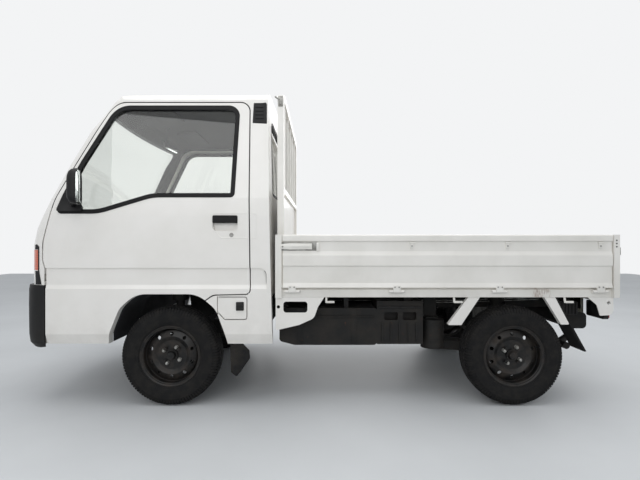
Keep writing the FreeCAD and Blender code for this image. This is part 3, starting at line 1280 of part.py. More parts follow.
CANISTER_AT = (REAR_AXLE_X - 411.5, -520.0)
CANISTER_R = 66.0
CANISTER_Z0 = 290.0
CANISTER_Z1 = 453.0
STAY_Y0 = -475.0
STAY_Y1 = -465.0
STAY_HALF = 36.0
canister = rod((CANISTER_AT[0], CANISTER_AT[1], CANISTER_Z0), (CANISTER_AT[0], CANISTER_AT[1], CANISTER_Z1),
               CANISTER_R)
stay_x0 = CANISTER_AT[0] - STAY_HALF
stay_x1 = CANISTER_AT[0] + STAY_HALF
canister_shelf = box(stay_x0, stay_x1, CANISTER_AT[1], STAY_Y1, CANISTER_Z1, CANISTER_Z1 + 8.0)
canister_stay = box(stay_x0, stay_x1, STAY_Y0, STAY_Y1, CANISTER_Z1, BED_BEAM_Z0)
canister_arm = box(stay_x0, REAR_AXLE_X - 182.5, STAY_Y0, STAY_Y1, 575.0, BED_BEAM_Z0)
canister_bracket = fuse([canister_shelf, canister_stay, canister_arm])
keep("battery_case_and_canister", Part.makeCompound([case, case_hanger, canister, canister_bracket]))

silencer_side = [
    (SILENCER_X0, 385.0, 25.0),
    (SILENCER_X0, 480.0, 25.0),
    (SILENCER_X1, 480.0, 25.0),
    (SILENCER_X1, 385.0, 25.0),
]
silencer = side_prism(silencer_side, -475.0, 260.0)
pipe_x = (SILENCER_X0 + SILENCER_X1) / 2
tip_x = SILENCER_X0 - 29.0
pipe = tube([(pipe_x, -400.0, 400.0), (pipe_x, -400.0, 330.0), (tip_x, -430.0, 293.0),
             (tip_x, -515.0, 293.0)], 20.0)
silencer_strap = box(pipe_x - 18.0, pipe_x + 12.0, -FRAME_Y1, -FRAME_Y0, 470.0, FRAME_Z0)
keep("silencer", fuse([silencer, pipe, silencer_strap]))

# ================================================================ bumper
BUMPER_BACK_X = DOOR_FRONT[0][0] - SHUT_GAP
# height, front on the centre line, half width
BUMPER_SECTIONS = [
    (325.0, NOSE_X + 26.0, HALF - 16.0),
    (352.0, NOSE_X + 8.0, HALF - 2.0),
    (395.0, NOSE_X + 2.0, HALF),
    (560.0, NOSE_X, HALF),
    (640.0, NOSE_X + 1.0, HALF),
    (665.0, NOSE_X + 6.0, HALF),
]
BUMPER_T = 14.0
bumper_wires = []
for z, front_x, half in BUMPER_SECTIONS:
    bumper_wires.append(cab_plan(z, front_x, half, BUMPER_BACK_X, CORNER_R))
bumper = Part.makeLoft(bumper_wires, True, True)
core_wires = []
for z, front_x, half in ((325.0, NOSE_X + 40.0, HALF - BUMPER_T), (665.0, NOSE_X + 28.0, HALF - BUMPER_T)):
    core_wires.append(cab_plan(z, front_x, half, BUMPER_BACK_X + 20.0, CORNER_R - 10.0))
bumper = bumper.cut(Part.makeLoft(core_wires, True, True))
PARTS["cab_nose"] = PARTS["cab_nose"].cut(bumper)
# air slots either side of the number plate, each with a slat left across it
INTAKE_Y0 = 205.0
INTAKE_Y1 = 470.0
INTAKE_Z = 452.0
INTAKE_H = 30.0
SLAT_H = 14.0
for i in range(2):
    intake_z = INTAKE_Z + i * (INTAKE_H + SLAT_H)
    intake = [
        (-INTAKE_Y1, intake_z, 10.0),
        (-INTAKE_Y1, intake_z + INTAKE_H, 10.0),
        (-INTAKE_Y0, intake_z + INTAKE_H, 10.0),
        (-INTAKE_Y0, intake_z, 10.0),
    ]
    slot = front_prism(intake, NOSE_X - 20.0, NOSE_X + 110.0)
    bumper = bumper.cut([slot, mirrored(slot)])
keep("front_bumper", Part.makeCompound([bumper, grille]))

# ================================================================ cab inside
INSIDE_HALF = HALF - SIDE_T - DOOR_ROOM
DASH_BACK_X = NOSE_X + 345.5
dash_side = [
    (NOSE_X, 1046.0, 0.0),
    (NOSE_X + 302.5, 1036.0, 20.0),
    (DASH_BACK_X, 985.0, 30.0),
    (DASH_BACK_X - 10.0, 850.0, 20.0),
    (NOSE_X + 247.5, 800.0, 20.0),
    (NOSE_X, 800.0, 0.0),
]
dash = side_prism(dash_side, -INSIDE_HALF, INSIDE_HALF).common(cab_form(SIDE_T, NOSE_T, BACK_T, ROOF_T))
DRIVER_Y = 325.0
WHEEL_HUB = Vector(DASH_BACK_X + 124.0, DRIVER_Y, 1000.0)
COLUMN_TILT = 24.0
STEER_R = 185.0
STEER_RIM_R = 13.0
COLUMN_R = 24.0
STEER_SHAFT_R = 9.0
column_way = Vector(math.sin(math.radians(COLUMN_TILT)), 0.0, math.cos(math.radians(COLUMN_TILT)))
column_foot = WHEEL_HUB - column_way * ((WHEEL_HUB.z - FLOOR_Z) / column_way.z)
column = rod(column_foot, WHEEL_HUB - column_way * 45.0, COLUMN_R)
column_shaft = rod(WHEEL_HUB - column_way * 60.0, WHEEL_HUB - column_way * 4.0, STEER_SHAFT_R)
column = column.common(box(-2000.0, 0.0, 0.0, HALF, FLOOR_Z, 1200.0)).fuse(column_shaft)
column = column.fuse(box(DASH_BACK_X - 28.0, DASH_BACK_X + 62.0,
                         DRIVER_Y - 30.0, DRIVER_Y + 30.0, 870.0, 900.0))
keep("dashboard", fuse([dash, column]))

steer_rim = Part.makeTorus(STEER_R - STEER_RIM_R, STEER_RIM_R, WHEEL_HUB, column_way)
steer_hub = rod(WHEEL_HUB - column_way * 35.0, WHEEL_HUB + column_way * 14.0, 42.0)
steer_pieces = [steer_rim, steer_hub]
across_way = Vector(0.0, 1.0, 0.0)
back_way = column_way.cross(across_way)
for turn in (0.0, 180.0, 90.0):
    way = across_way * math.cos(math.radians(turn)) - back_way * math.sin(math.radians(turn))
    steer_pieces.append(rod(WHEEL_HUB + way * 30.0, WHEEL_HUB + way * (STEER_R - STEER_RIM_R), 10.0))
steering_wheel = fuse(steer_pieces)
steering_wheel = steering_wheel.cut(rod(WHEEL_HUB - column_way * 60.0, WHEEL_HUB - column_way * 3.0,
                                        STEER_SHAFT_R + PIN_FIT))
keep("steering_wheel", steering_wheel)

SEAT_Y = 320.0
SEAT_W = 500.0
BASE_SIDE = [
    (-1020.0, SEAT_BOX_Z + SEAT_GAP, 20.0),
    (-1030.0, 780.0, 40.0),
    (-560.0, 745.0, 30.0),
    (-545.0, SEAT_BOX_Z + SEAT_GAP, 20.0),
]
BACK_SIDE = [
    (-540.0, SEAT_BOX_Z + SEAT_GAP, 20.0),
    (-555.0, 760.0, 30.0),
    (-440.0, 1165.0, 40.0),
    (-340.0, 1165.0, 40.0),
    (-400.0, SEAT_BOX_Z + SEAT_GAP, 20.0),
]
base = side_prism(BASE_SIDE, -SEAT_Y - SEAT_W / 2, -SEAT_Y + SEAT_W / 2)
back = side_prism(BACK_SIDE, -SEAT_Y - SEAT_W / 2, -SEAT_Y + SEAT_W / 2)
keep("seat_cushions", both_sides(base))
keep("seat_backs", both_sides(back))

# ================================================================ rear lamps
REAR_LAMP_Y = 570.0
REAR_LAMP_W = 150.0
rear_lamp = box(POST_BACK_X - 20.0, TAIL_X - 22.0, -REAR_LAMP_Y - REAR_LAMP_W / 2,
                -REAR_LAMP_Y + REAR_LAMP_W / 2, 470.0, REAR_SILL_Z0)
keep("rear_lamps", both_sides(rear_lamp))


# ================================================================ write every piece
os.makedirs("parts", exist_ok=True)
for name, shape in PARTS.items():
    if not shape.isValid():
        print("not valid:", name)
    print(name, len(shape.Solids), round(shape.Volume / 1000.0), "cm3")
    shape.translate(Vector(-MIDDLE_X, 0.0, 0.0))
    shape.exportStep("parts/" + name + ".step")
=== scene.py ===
# %% [markdown]
# # A small forward-control truck, dressed piece by piece
#
# The rigid shape of the truck is already there as named pieces: cab, doors, wheels, bed and so on.
# This lesson loads them as a fixed frame, gives each one a finish that a painter or moulder would
# recognise, and then adds what a shape model leaves out: tread, nuts, rubber strips, lamps' insides,
# wipers, seats, hinges and dirt. X runs to the back, Y to the right side and Z up, in metres.

# %% Load the frame
import math

import bmesh
import bpy
from mathutils import Euler, Matrix, Vector
from mathutils.bvhtree import BVHTree


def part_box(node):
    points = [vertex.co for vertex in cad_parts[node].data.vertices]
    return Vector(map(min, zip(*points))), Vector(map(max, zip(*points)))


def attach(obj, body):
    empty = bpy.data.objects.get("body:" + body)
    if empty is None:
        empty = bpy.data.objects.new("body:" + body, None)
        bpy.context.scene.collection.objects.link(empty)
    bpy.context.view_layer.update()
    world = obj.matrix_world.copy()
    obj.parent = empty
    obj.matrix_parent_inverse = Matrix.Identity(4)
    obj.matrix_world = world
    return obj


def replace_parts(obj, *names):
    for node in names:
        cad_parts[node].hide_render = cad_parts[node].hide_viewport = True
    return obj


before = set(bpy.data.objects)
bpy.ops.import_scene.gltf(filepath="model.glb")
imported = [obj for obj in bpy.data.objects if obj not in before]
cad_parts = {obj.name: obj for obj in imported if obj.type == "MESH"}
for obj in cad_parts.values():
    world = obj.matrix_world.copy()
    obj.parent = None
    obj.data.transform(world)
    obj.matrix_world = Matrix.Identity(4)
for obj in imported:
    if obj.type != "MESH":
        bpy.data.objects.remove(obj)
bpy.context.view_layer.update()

scene = bpy.context.scene
print("pieces in the frame:", len(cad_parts))


# %% [markdown]
# ## Helpers that every finish uses
#
# Paint charts and screen colours are written as sRGB hex values, but a renderer adds up light, so
# each colour is turned to linear first. The second helper adds one shader node, sets its own
# settings, then fills or joins its inputs. The others are built on it, so that a material reads
# from top to bottom like a recipe.

# %% Colours and nodes
def linear(code, alpha=1.0):
    """An sRGB hex colour such as "E8E9E6" as linear red, green, blue and alpha."""
    values = []
    for start in (0, 2, 4):
        share = int(code[start:start + 2], 16) / 255
        values.append(share / 12.92 if share <= 0.04045 else ((share + 0.055) / 1.055) ** 2.4)
    return (*values, alpha)


def add(tree, kind, sockets=None, **settings):
    """Adds a node of a kind, with its settings, and fills or joins its inputs by name or number."""
    made = tree.nodes.new(kind)
    for name, value in settings.items():
        setattr(made, name, value)
    for key, value in (sockets or {}).items():
        socket = made.inputs[key]
        if isinstance(value, bpy.types.NodeSocket):
            tree.links.new(value, socket)
        else:
            socket.default_value = value
    return made


def new_finish(name, **sockets):
    """A material with one Principled shader, whose plain numbers are set on its own sockets."""
    material = bpy.data.materials.new(name)
    material.use_nodes = True
    tree = material.node_tree
    tree.nodes.clear()
    plain = {key.replace("_", " "): value for key, value in sockets.items()}
    shader = add(tree, "ShaderNodeBsdfPrincipled", plain)
    add(tree, "ShaderNodeOutputMaterial", {"Surface": shader.outputs["BSDF"]})
    return material, tree, shader


def place_of(tree):
    """The point on the piece, in metres, which every CAD piece has in the truck's own frame."""
    return add(tree, "ShaderNodeTexCoord").outputs["Object"]


def noise(tree, place, size_mm, detail=3.0, roughness=0.55, stretch=(1.0, 1.0, 1.0)):
    """Cloudy noise whose blotches are about size_mm across, as a number from 0 to 1."""
    scaled = add(tree, "ShaderNodeVectorMath", {0: place, 1: stretch}, operation="MULTIPLY").outputs[0]
    return add(tree, "ShaderNodeTexNoise", {"Vector": scaled, "Scale": 1000 / size_mm, "Detail": detail,
                                            "Roughness": roughness}).outputs["Fac"]


def share(tree, value, low, high, out_low=0.0, out_high=1.0):
    """Maps a value that runs from low to high onto out_low to out_high, and holds it there."""
    return add(tree, "ShaderNodeMapRange", {"Value": value, "From Min": low, "From Max": high,
                                            "To Min": out_low, "To Max": out_high}).outputs["Result"]


def times(tree, first, second):
    """The product of two numbers."""
    return add(tree, "ShaderNodeMath", {0: first, 1: second}, operation="MULTIPLY").outputs[0]


def blended(tree, amount, first, second):
    """Two colours, each a socket or an sRGB code, mixed by an amount from 0 to 1."""
    mix = add(tree, "ShaderNodeMix", data_type="RGBA")
    for socket, value in (("Factor_Float", amount), ("A_Color", first), ("B_Color", second)):
        target = next(s for s in mix.inputs if s.identifier == socket)
        if isinstance(value, bpy.types.NodeSocket):
            tree.links.new(value, target)
        else:
            target.default_value = linear(value)
    return next(s for s in mix.outputs if s.identifier == "Result_Color")


def coat(tree, shader, colour, roughness):
    """Joins a finish's colour and its roughness to the shader."""
    tree.links.new(colour, shader.inputs["Base Color"])
    tree.links.new(roughness, shader.inputs["Roughness"])


def bumped(tree, shader, height, distance_mm, strength=1.0):
    """Lets a height from 0 to 1 raise the surface by up to distance_mm."""
    bump = add(tree, "ShaderNodeBump", {"Height": height, "Distance": distance_mm / 1000,
                                        "Strength": strength})
    tree.links.new(bump.outputs["Normal"], shader.inputs["Normal"])


print("white paint in linear light:", [round(v, 3) for v in linear("E8E9E6")])

# %% [markdown]
# ## White enamel on pressed steel
#
# The cab and the bed are pressed sheet steel, primed and sprayed with a plain white enamel and
# baked. Sprayed paint is never mirror flat: it keeps a faint orange peel of one to two millimetres,
# which softens a reflection without hiding it. A work truck also carries a film of road dirt that
# thickens towards the ground. So the finish is a smooth white under a thin coat, with a fine bump,
# and a brownish veil that a height and two sizes of noise let through.

# %% White enamel
ROAD_DIRT = "8C8578"
RUST = "7A4526"


def road_film(tree, place, top, amount):
    """How much road dirt lies at a point: amount at the ground, none above the height top."""
    height = add(tree, "ShaderNodeSeparateXYZ", {0: place}).outputs["Z"]
    low = share(tree, height, top, 0.25, 0.0, 1.0)
    cloud = share(tree, noise(tree, place, 140, 6.0, 0.62), 0.35, 0.75)
    return times(tree, times(tree, low, cloud), amount)


def enamel(name, colour, chalk, dirt_top, dirt_amount):
    """Sprayed and baked enamel that has gone a little chalky, with road dirt from the ground up."""
    material, tree, shader = new_finish(name, Roughness=0.3, Coat_Weight=0.35, Coat_Roughness=0.14, IOR=1.5)
    place = place_of(tree)
    haze = share(tree, noise(tree, place, 220, 4.0), 0.35, 0.7)
    paint = blended(tree, haze, colour, chalk)
    film = road_film(tree, place, dirt_top, dirt_amount)
    coat(tree, shader, blended(tree, film, paint, ROAD_DIRT),
         share(tree, film, 0.0, 0.5, 0.3, 0.62))
    bumped(tree, shader, noise(tree, place, 3.0, 1.0), 0.02)
    return material, tree, shader, place


body_enamel = enamel("baked_white_enamel", "EEEBE6", "E8E5DF", 0.62, 0.30)[0]
print("finish:", body_enamel.name)


# %% [markdown]
# ## The bed's enamel, scraped and rusting
#
# The bed is painted like the cab, but ropes, boxes and boots scrape it. Where a scrape goes through
# to steel, rain draws rust down from it. The floor has long scratches along the truck from loads
# that were slid in, and the sill behind the middle of the bed has the worst stains. Scratches are
# noise stretched along X, and the stain is a soft box of noise that runs down from one place.

# %% Bed enamel
def soft_box(tree, place, centre, half, edge):
    """1 inside a box and 0 outside it, with soft edges, for a stain at one place."""
    gap = add(tree, "ShaderNodeVectorMath", {0: place, 1: centre}, operation="SUBTRACT").outputs[0]
    gap = add(tree, "ShaderNodeVectorMath", {0: gap}, operation="ABSOLUTE").outputs[0]
    parts = add(tree, "ShaderNodeSeparateXYZ", {0: gap}).outputs
    result = None
    for axis, reach in zip("XYZ", half):
        one = share(tree, parts[axis], reach + edge, reach - edge)
        result = one if result is None else times(tree, result, one)
    return result


def bed_enamel_finish():
    material, tree, shader, place = enamel("scraped_bed_enamel", "EBE8E2", "E0DDD6", 0.75, 0.35)
    paint = shader.inputs["Base Color"].links[0].from_socket
    long_scrape = share(tree, noise(tree, place, 16, 5.0, 0.6, (0.08, 1.0, 1.0)), 0.62, 0.7)
    on_floor = soft_box(tree, place, (0.7, 0.0, 0.652), (0.95, 0.66, 0.004), 0.002)
    worn = times(tree, long_scrape, on_floor)
    paint = blended(tree, times(tree, worn, 0.6), paint, "8A8884")
    streaks = share(tree, noise(tree, place, 26, 6.0, 0.7, (1.0, 1.0, 0.25)), 0.46, 0.62)
    stain = times(tree, streaks, soft_box(tree, place, (1.23, -0.69, 0.616), (0.045, 0.06, 0.024), 0.012))
    paint = blended(tree, times(tree, stain, 0.85), paint, RUST)
    edge_rust = share(tree, noise(tree, place, 60, 7.0, 0.72), 0.66, 0.72)
    low = soft_box(tree, place, (0.7, 0.0, 0.60), (1.1, 0.75, 0.05), 0.02)
    paint = blended(tree, times(tree, times(tree, edge_rust, low), 0.5), paint, "9A6A48")
    tree.links.new(paint, shader.inputs["Base Color"])
    return material


bed_enamel = bed_enamel_finish()
print("finish:", bed_enamel.name)


# %% [markdown]
# ## Black moulded plastic
#
# Bumper, mirrors, dashboard and louvres are polypropylene, moulded in a tool that was etched with a
# leather grain so that it doesn't shine. The grain is under a millimetre, and sun and polish leave
# the plastic a mottled dark grey. A Voronoi pattern gives cells like that grain.

# %% Moulded plastic
def grain_cells(tree, place, size_mm):
    """A grain of cells size_mm across, as the distance to each cell's middle."""
    return add(tree, "ShaderNodeTexVoronoi", {"Vector": place, "Scale": 1000 / size_mm}).outputs["Distance"]


def moulded_plastic(name, colour, faded, roughness, grain_mm, dirt_top=0.7, dirt_amount=0.35):
    """Grained polypropylene, faded in patches, with road dirt below dirt_top."""
    material, tree, shader = new_finish(name, Roughness=roughness, IOR=1.49, Specular_IOR_Level=0.28)
    place = place_of(tree)
    patches = share(tree, noise(tree, place, 90, 4.0), 0.35, 0.7)
    plastic = blended(tree, patches, colour, faded)
    film = road_film(tree, place, dirt_top, dirt_amount)
    coat(tree, shader, blended(tree, film, plastic, "6F695F"),
         share(tree, patches, 0.0, 1.0, roughness, roughness + 0.1))
    bumped(tree, shader, grain_cells(tree, place, grain_mm), 0.08, 0.6)
    return material


bumper_plastic = moulded_plastic("grained_polypropylene", "0F0F10", "171718", 0.5, 1.6, 0.7, 0.12)
dash_plastic = moulded_plastic("grey_dashboard_plastic", "3A3B3D", "414244", 0.55, 1.4, 0.0, 0.0)
print("finishes:", bumper_plastic.name, dash_plastic.name)


# %% [markdown]
# ## Rubber
#
# Two rubbers show. The window strips are extruded EPDM, matt and evenly black. The tyres hold more
# carbon black, and are greyer where dust has worked into them. It settles unevenly, so its share
# follows noise alone.

# %% Rubber
def rubber(name, colour, dusty, roughness, dust_mm, dust_share, bump_mm):
    """Carbon-filled rubber with dust in its pores."""
    material, tree, shader = new_finish(name, Roughness=roughness, IOR=1.52, Specular_IOR_Level=0.22)
    place = place_of(tree)
    dust = share(tree, noise(tree, place, dust_mm, 6.0, 0.65), 0.42, 0.78, 0.0, dust_share)
    coat(tree, shader, blended(tree, dust, colour, dusty),
         share(tree, dust, 0.0, 1.0, roughness, 0.92))
    bumped(tree, shader, noise(tree, place, 2.2, 2.0), bump_mm, 0.5)
    return material


strip_rubber = rubber("extruded_window_rubber", "101011", "222222", 0.6, 70, 0.4, 0.05)
tyre_rubber = rubber("tyre_rubber", "0F0F10", "34312D", 0.78, 45, 0.5, 0.15)
flap_rubber = rubber("flap_rubber", "141415", "423D37", 0.75, 60, 0.6, 0.1)
print("finishes:", strip_rubber.name, tyre_rubber.name, flap_rubber.name)


# %% [markdown]
# ## Painted and bare metal underneath
#
# The wheels are steel, dipped in black enamel with a soft shine. Frame, tank and silencer are black
# too but brushed on thickly, and by now half hidden by dried mud. Castings such as the knuckles and
# the engine are raw aluminium or iron, dull and mottled, with rust in spots.

# %% Underbody metals
def black_steel(name, colour, roughness, mud, mud_share, mud_mm, rust_share):
    """Black paint on steel, with dried mud and a few rust spots."""
    material, tree, shader = new_finish(name, Roughness=roughness, IOR=1.5, Specular_IOR_Level=0.3)
    place = place_of(tree)
    dust = share(tree, noise(tree, place, mud_mm, 7.0, 0.62), 0.42, 0.74, 0.0, mud_share)
    paint = blended(tree, dust, colour, mud)
    spots = share(tree, noise(tree, place, 22, 8.0, 0.72), 0.63, 0.7, 0.0, rust_share)
    coat(tree, shader, blended(tree, spots, paint, "5B3620"),
         share(tree, dust, 0.0, 1.0, roughness, 0.9))
    bumped(tree, shader, noise(tree, place, 5.0, 3.0), 0.12, 0.6)
    return material


def cast_metal(name, colour, stain, metallic, rust_share):
    """A raw casting: metal that has gone dull, with stains and rust in its sand-rough skin."""
    material, tree, shader = new_finish(name, Roughness=0.55, Metallic=metallic)
    place = place_of(tree)
    patches = share(tree, noise(tree, place, 50, 6.0, 0.65), 0.38, 0.68)
    skin = blended(tree, patches, colour, stain)
    spots = share(tree, noise(tree, place, 18, 8.0, 0.72), 0.58, 0.68, 0.0, rust_share)
    coat(tree, shader, blended(tree, spots, skin, "6A3F25"),
         share(tree, patches, 0.0, 1.0, 0.45, 0.75))
    bumped(tree, shader, noise(tree, place, 1.6, 2.0), 0.15, 0.7)
    return material


wheel_enamel = black_steel("black_wheel_enamel", "111111", 0.34, "3D3630", 0.75, 60, 0.15)
chassis_paint = black_steel("brushed_chassis_black", "0F0F0F", 0.62, "3A352F", 0.5, 120, 0.5)
raw_casting = cast_metal("raw_casting", "7C7B78", "4B4A47", 0.7, 0.5)
zinc_steel = cast_metal("zinc_plated_steel", "A9A9A6", "7D7B76", 0.9, 0.12)
print("finishes:", wheel_enamel.name, chassis_paint.name, raw_casting.name, zinc_steel.name)


# %% [markdown]
# ## Glass and lamp lenses
#
# The panes are toughened float glass, faintly green from the iron in it and slightly dusty. Real
# glass lets lamps through, so lamp rays pass a plain see-through shader here while the eye meets
# glass with its gloss. Lenses are moulded acrylic: clear, amber and red, with ribs inside that
# scatter the light, which a fine wave of bump stands for.

# %% Glass and acrylic
WAVE_TURN = 6.283  # a wave node's bands lie one turn apart, so its scale is divided by that


def flutes_along(tree, flute_mm, way):
    """Fine waves flute_mm apart, as a number from 0 to 1."""
    return add(tree, "ShaderNodeTexWave", {"Vector": place_of(tree), "Scale": 1000 / flute_mm / WAVE_TURN},
               bands_direction=way).outputs["Fac"]


def pane(name, tint, roughness, flute_mm=None):
    """Clear solid that bends light for the eye and lets lamps' light through."""
    material = bpy.data.materials.new(name)
    material.use_nodes = True
    tree = material.node_tree
    tree.nodes.clear()
    glass = add(tree, "ShaderNodeBsdfPrincipled", {
        "Base Color": linear(tint), "Roughness": roughness, "IOR": 1.45, "Specular IOR Level": 0.25,
        "Transmission Weight": 1.0})
    clear = add(tree, "ShaderNodeBsdfTransparent", {"Color": linear(tint)})
    lamp_ray = add(tree, "ShaderNodeLightPath").outputs["Is Shadow Ray"]
    both = add(tree, "ShaderNodeMixShader", {0: lamp_ray, 1: glass.outputs[0], 2: clear.outputs[0]})
    add(tree, "ShaderNodeOutputMaterial", {"Surface": both.outputs[0]})
    if flute_mm:
        bumped(tree, glass, flutes_along(tree, flute_mm, "Y"), 1.5, 0.7)
    return material


window_glass = pane("float_glass", "F2F4F1", 0.0)
clear_lens = pane("fluted_clear_lens", "F4F6F5", 0.03, 7.0)
print("finishes:", window_glass.name, clear_lens.name)


# %% Coloured acrylic
def acrylic(name, colour, deep, flute_mm):
    """Dyed acrylic over a bright reflector: its colour glows because light goes in and comes back."""
    material, tree, shader = new_finish(name, Roughness=0.12, IOR=1.49, Coat_Weight=0.6, Coat_Roughness=0.05)
    flutes = flutes_along(tree, flute_mm, "Z")
    tree.links.new(blended(tree, share(tree, flutes, 0.0, 1.0, 0.0, 0.6), colour, deep),
                   shader.inputs["Base Color"])
    bumped(tree, shader, flutes, 0.6, 0.6)
    return material


amber_lens = acrylic("amber_acrylic", "D9541C", "A83410", 5.0)
red_lens = acrylic("red_acrylic", "A8141A", "70090E", 5.0)
print("finishes:", amber_lens.name, red_lens.name)


# %% [markdown]
# ## Vinyl inside
#
# A truck like this has wipe-clean seats: a soft PVC skin on foam with an embossed leather grain. The
# linings are a darker and duller vinyl. The grain's cells are under two millimetres, and the cover
# goes shiny where people slide in and out.

# %% Vinyl
def vinyl(name, colour, worn, roughness):
    """Embossed PVC over foam, a little shiny where it is rubbed."""
    material, tree, shader = new_finish(name, Roughness=roughness, IOR=1.52, Specular_IOR_Level=0.3)
    place = place_of(tree)
    rubbed = share(tree, noise(tree, place, 130, 3.0), 0.4, 0.7)
    coat(tree, shader, blended(tree, rubbed, colour, worn),
         share(tree, rubbed, 0.0, 1.0, roughness, roughness - 0.12))
    bumped(tree, shader, grain_cells(tree, place, 1.8), 0.05, 0.7)
    return material


seat_vinyl = vinyl("embossed_grey_vinyl", "4A4B4D", "56575A", 0.5)
lining = vinyl("dark_roof_lining", "2D2E30", "333436", 0.8)
print("finishes:", seat_vinyl.name, lining.name)


# %% [markdown]
# ## Each frame piece gets its finish
#
# A frame piece has one material slot, so a table of names is enough. The finish goes on the piece's
# own mesh, and the mesh itself is left as it came.

# %% Dress the frame
FINISHES = (
    (body_enamel, "cab_roof cab_nose cab_back door_left door_right fuel_flap side_skirts"),
    (bed_enamel, "bed gate_left gate_right gate_tail guard_frame"),
    (bumper_plastic, "front_bumper mirror_left mirror_right"),
    (dash_plastic, "dashboard steering_wheel"),
    (strip_rubber, "door_trim_left door_trim_right"),
    (flap_rubber, "splash_flaps"),
    (tyre_rubber, "tyre_front_left tyre_front_right tyre_rear_left tyre_rear_right"),
    (wheel_enamel, "rim_front_left rim_front_right rim_rear_left rim_rear_right"),
    (chassis_paint, "chassis_frame suspension fuel_tank battery_case_and_canister silencer"),
    (raw_casting, "engine_block knuckle_left knuckle_right"),
    (window_glass, "cab_glass door_glass_left door_glass_right"),
    (clear_lens, "headlamps"),
    (amber_lens, "turn_lamps"),
    (red_lens, "rear_lamps"),
    (seat_vinyl, "seat_cushions seat_backs"),
    (lining, "cab_floor"),
)
dressed = 0
for finish, names in FINISHES:
    for name in names.split():
        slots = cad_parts[name].data.materials
        slots.clear()
        slots.append(finish)
        dressed += 1
print("dressed", dressed, "of", len(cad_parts), "frame pieces")

# %% [markdown]
# ## How the added pieces are made
#
# Every added piece starts as a small mesh built vertex by vertex: an outline pushed out into a slab
# with eased edges, a profile turned round an axle, or a round bar bent along a path. A piece is
# finished the same way each time: doubles merged, faces turned outwards, smooth across soft angles
# and sharp at hard ones, then hung on the body of the truck that it moves with.

# %% Mesh helpers
SIDES = (("left", -1.0), ("right", 1.0))


def facing(origin, right=(0, 1, 0), up=(0, 0, 1)):
    """A flat drawing's place: right and up lie in it, and its own Z comes out of it.

    Without them it is seen from behind the truck, and its Z points backwards.
    """
    right = Vector(right).normalized()
    up = Vector(up).normalized()
    return Matrix.Translation(Vector(origin)) @ Matrix((right, up, right.cross(up))).transposed().to_4x4()


def bend_point(start, corner, end, t):
    """A point at share t of the soft curve that replaces a corner."""
    return (1 - t) ** 2 * start + 2 * t * (1 - t) * corner + t * t * end


def rounded(outline, radii, steps=4):
    """Replaces each corner of a flat outline by an arc of its own radius."""
    points = [Vector(point) for point in outline]
    if not isinstance(radii, (list, tuple)):
        radii = [radii] * len(points)
    result = []
    for i, corner in enumerate(points):
        before = points[i - 1] - corner
        after = points[(i + 1) % len(points)] - corner
        angle = before.angle(after)
        reach = min(radii[i] / math.tan(angle / 2), before.length * 0.49, after.length * 0.49)
        if reach < 1e-6:
            result.append(corner)
            continue
        start = corner + before.normalized() * reach
        end = corner + after.normalized() * reach
        result += [bend_point(start, corner, end, step / steps) for step in range(steps + 1)]
    return result


def rectangle(width, height, centre=(0.0, 0.0)):
    """The corners of a rectangle round a centre."""
    x, y = centre
    return [(x - width / 2, y - height / 2), (x + width / 2, y - height / 2),
            (x + width / 2, y + height / 2), (x - width / 2, y + height / 2)]


def points_in(made):
    """The points among what a mesh operation made."""
    return [v for v in made["geom"] if isinstance(v, bmesh.types.BMVert)]


def add_slab(bm, outline, place, thickness, ease=0.001):
    """Pushes a flat outline out by a thickness and eases its long edges."""
    others = set(bm.verts)
    verts = [bm.verts.new((p[0], p[1], 0.0)) for p in outline]
    face = bm.faces.new(verts)
    top = points_in(bmesh.ops.extrude_face_region(bm, geom=[face]))
    for v in top:
        v.co.z += thickness
    if ease:
        rims = set()
        for group in (verts, top):
            chosen = set(group)
            rims.update(e for v in group for e in v.link_edges if e.other_vert(v) in chosen)
        bmesh.ops.bevel(bm, geom=list(rims), offset=ease, segments=2, profile=0.5, affect="EDGES")
    bmesh.ops.transform(bm, matrix=place, verts=[v for v in bm.verts if v not in others])


def add_plate(bm, size, radius, place, thickness, ease, centre=(0.0, 0.0)):
    """A slab whose outline is a rectangle with rounded corners."""
    add_slab(bm, rounded(rectangle(*size, centre=centre), radius), place, thickness, ease)


def add_turned(bm, profile, centre, axis, steps=48, closed=False):
    """Turns a profile of (radius, distance along the axis) round an axis."""
    axis = Vector(axis).normalized()
    side = axis.orthogonal().normalized()
    other = axis.cross(side)
    rings = []
    for radius, along in profile:
        if radius < 1e-6:
            rings.append([bm.verts.new(Vector(centre) + axis * along)])
            continue
        ring = []
        for step in range(steps):
            turn = 2 * math.pi * step / steps
            ring.append(bm.verts.new(Vector(centre) + axis * along
                                     + (side * math.cos(turn) + other * math.sin(turn)) * radius))
        rings.append(ring)
    pairs = list(zip(rings, rings[1:]))
    if closed:
        pairs.append((rings[-1], rings[0]))
    for low, high in pairs:
        for step in range(steps):
            quad = [low[step % len(low)], low[(step + 1) % len(low)],
                    high[(step + 1) % len(high)], high[step % len(high)]]
            quad = list(dict.fromkeys(quad))
            if len(quad) > 2:
                bm.faces.new(quad)


def add_tube(bm, rings):
    """Joins rings of points, one after the other, into a tube with closed ends."""
    for low, high in zip(rings, rings[1:]):
        for k in range(len(low)):
            after = (k + 1) % len(low)
            bm.faces.new([low[k], low[after], high[after], high[k]])
    bm.faces.new(rings[0][::-1])
    bm.faces.new(rings[-1])


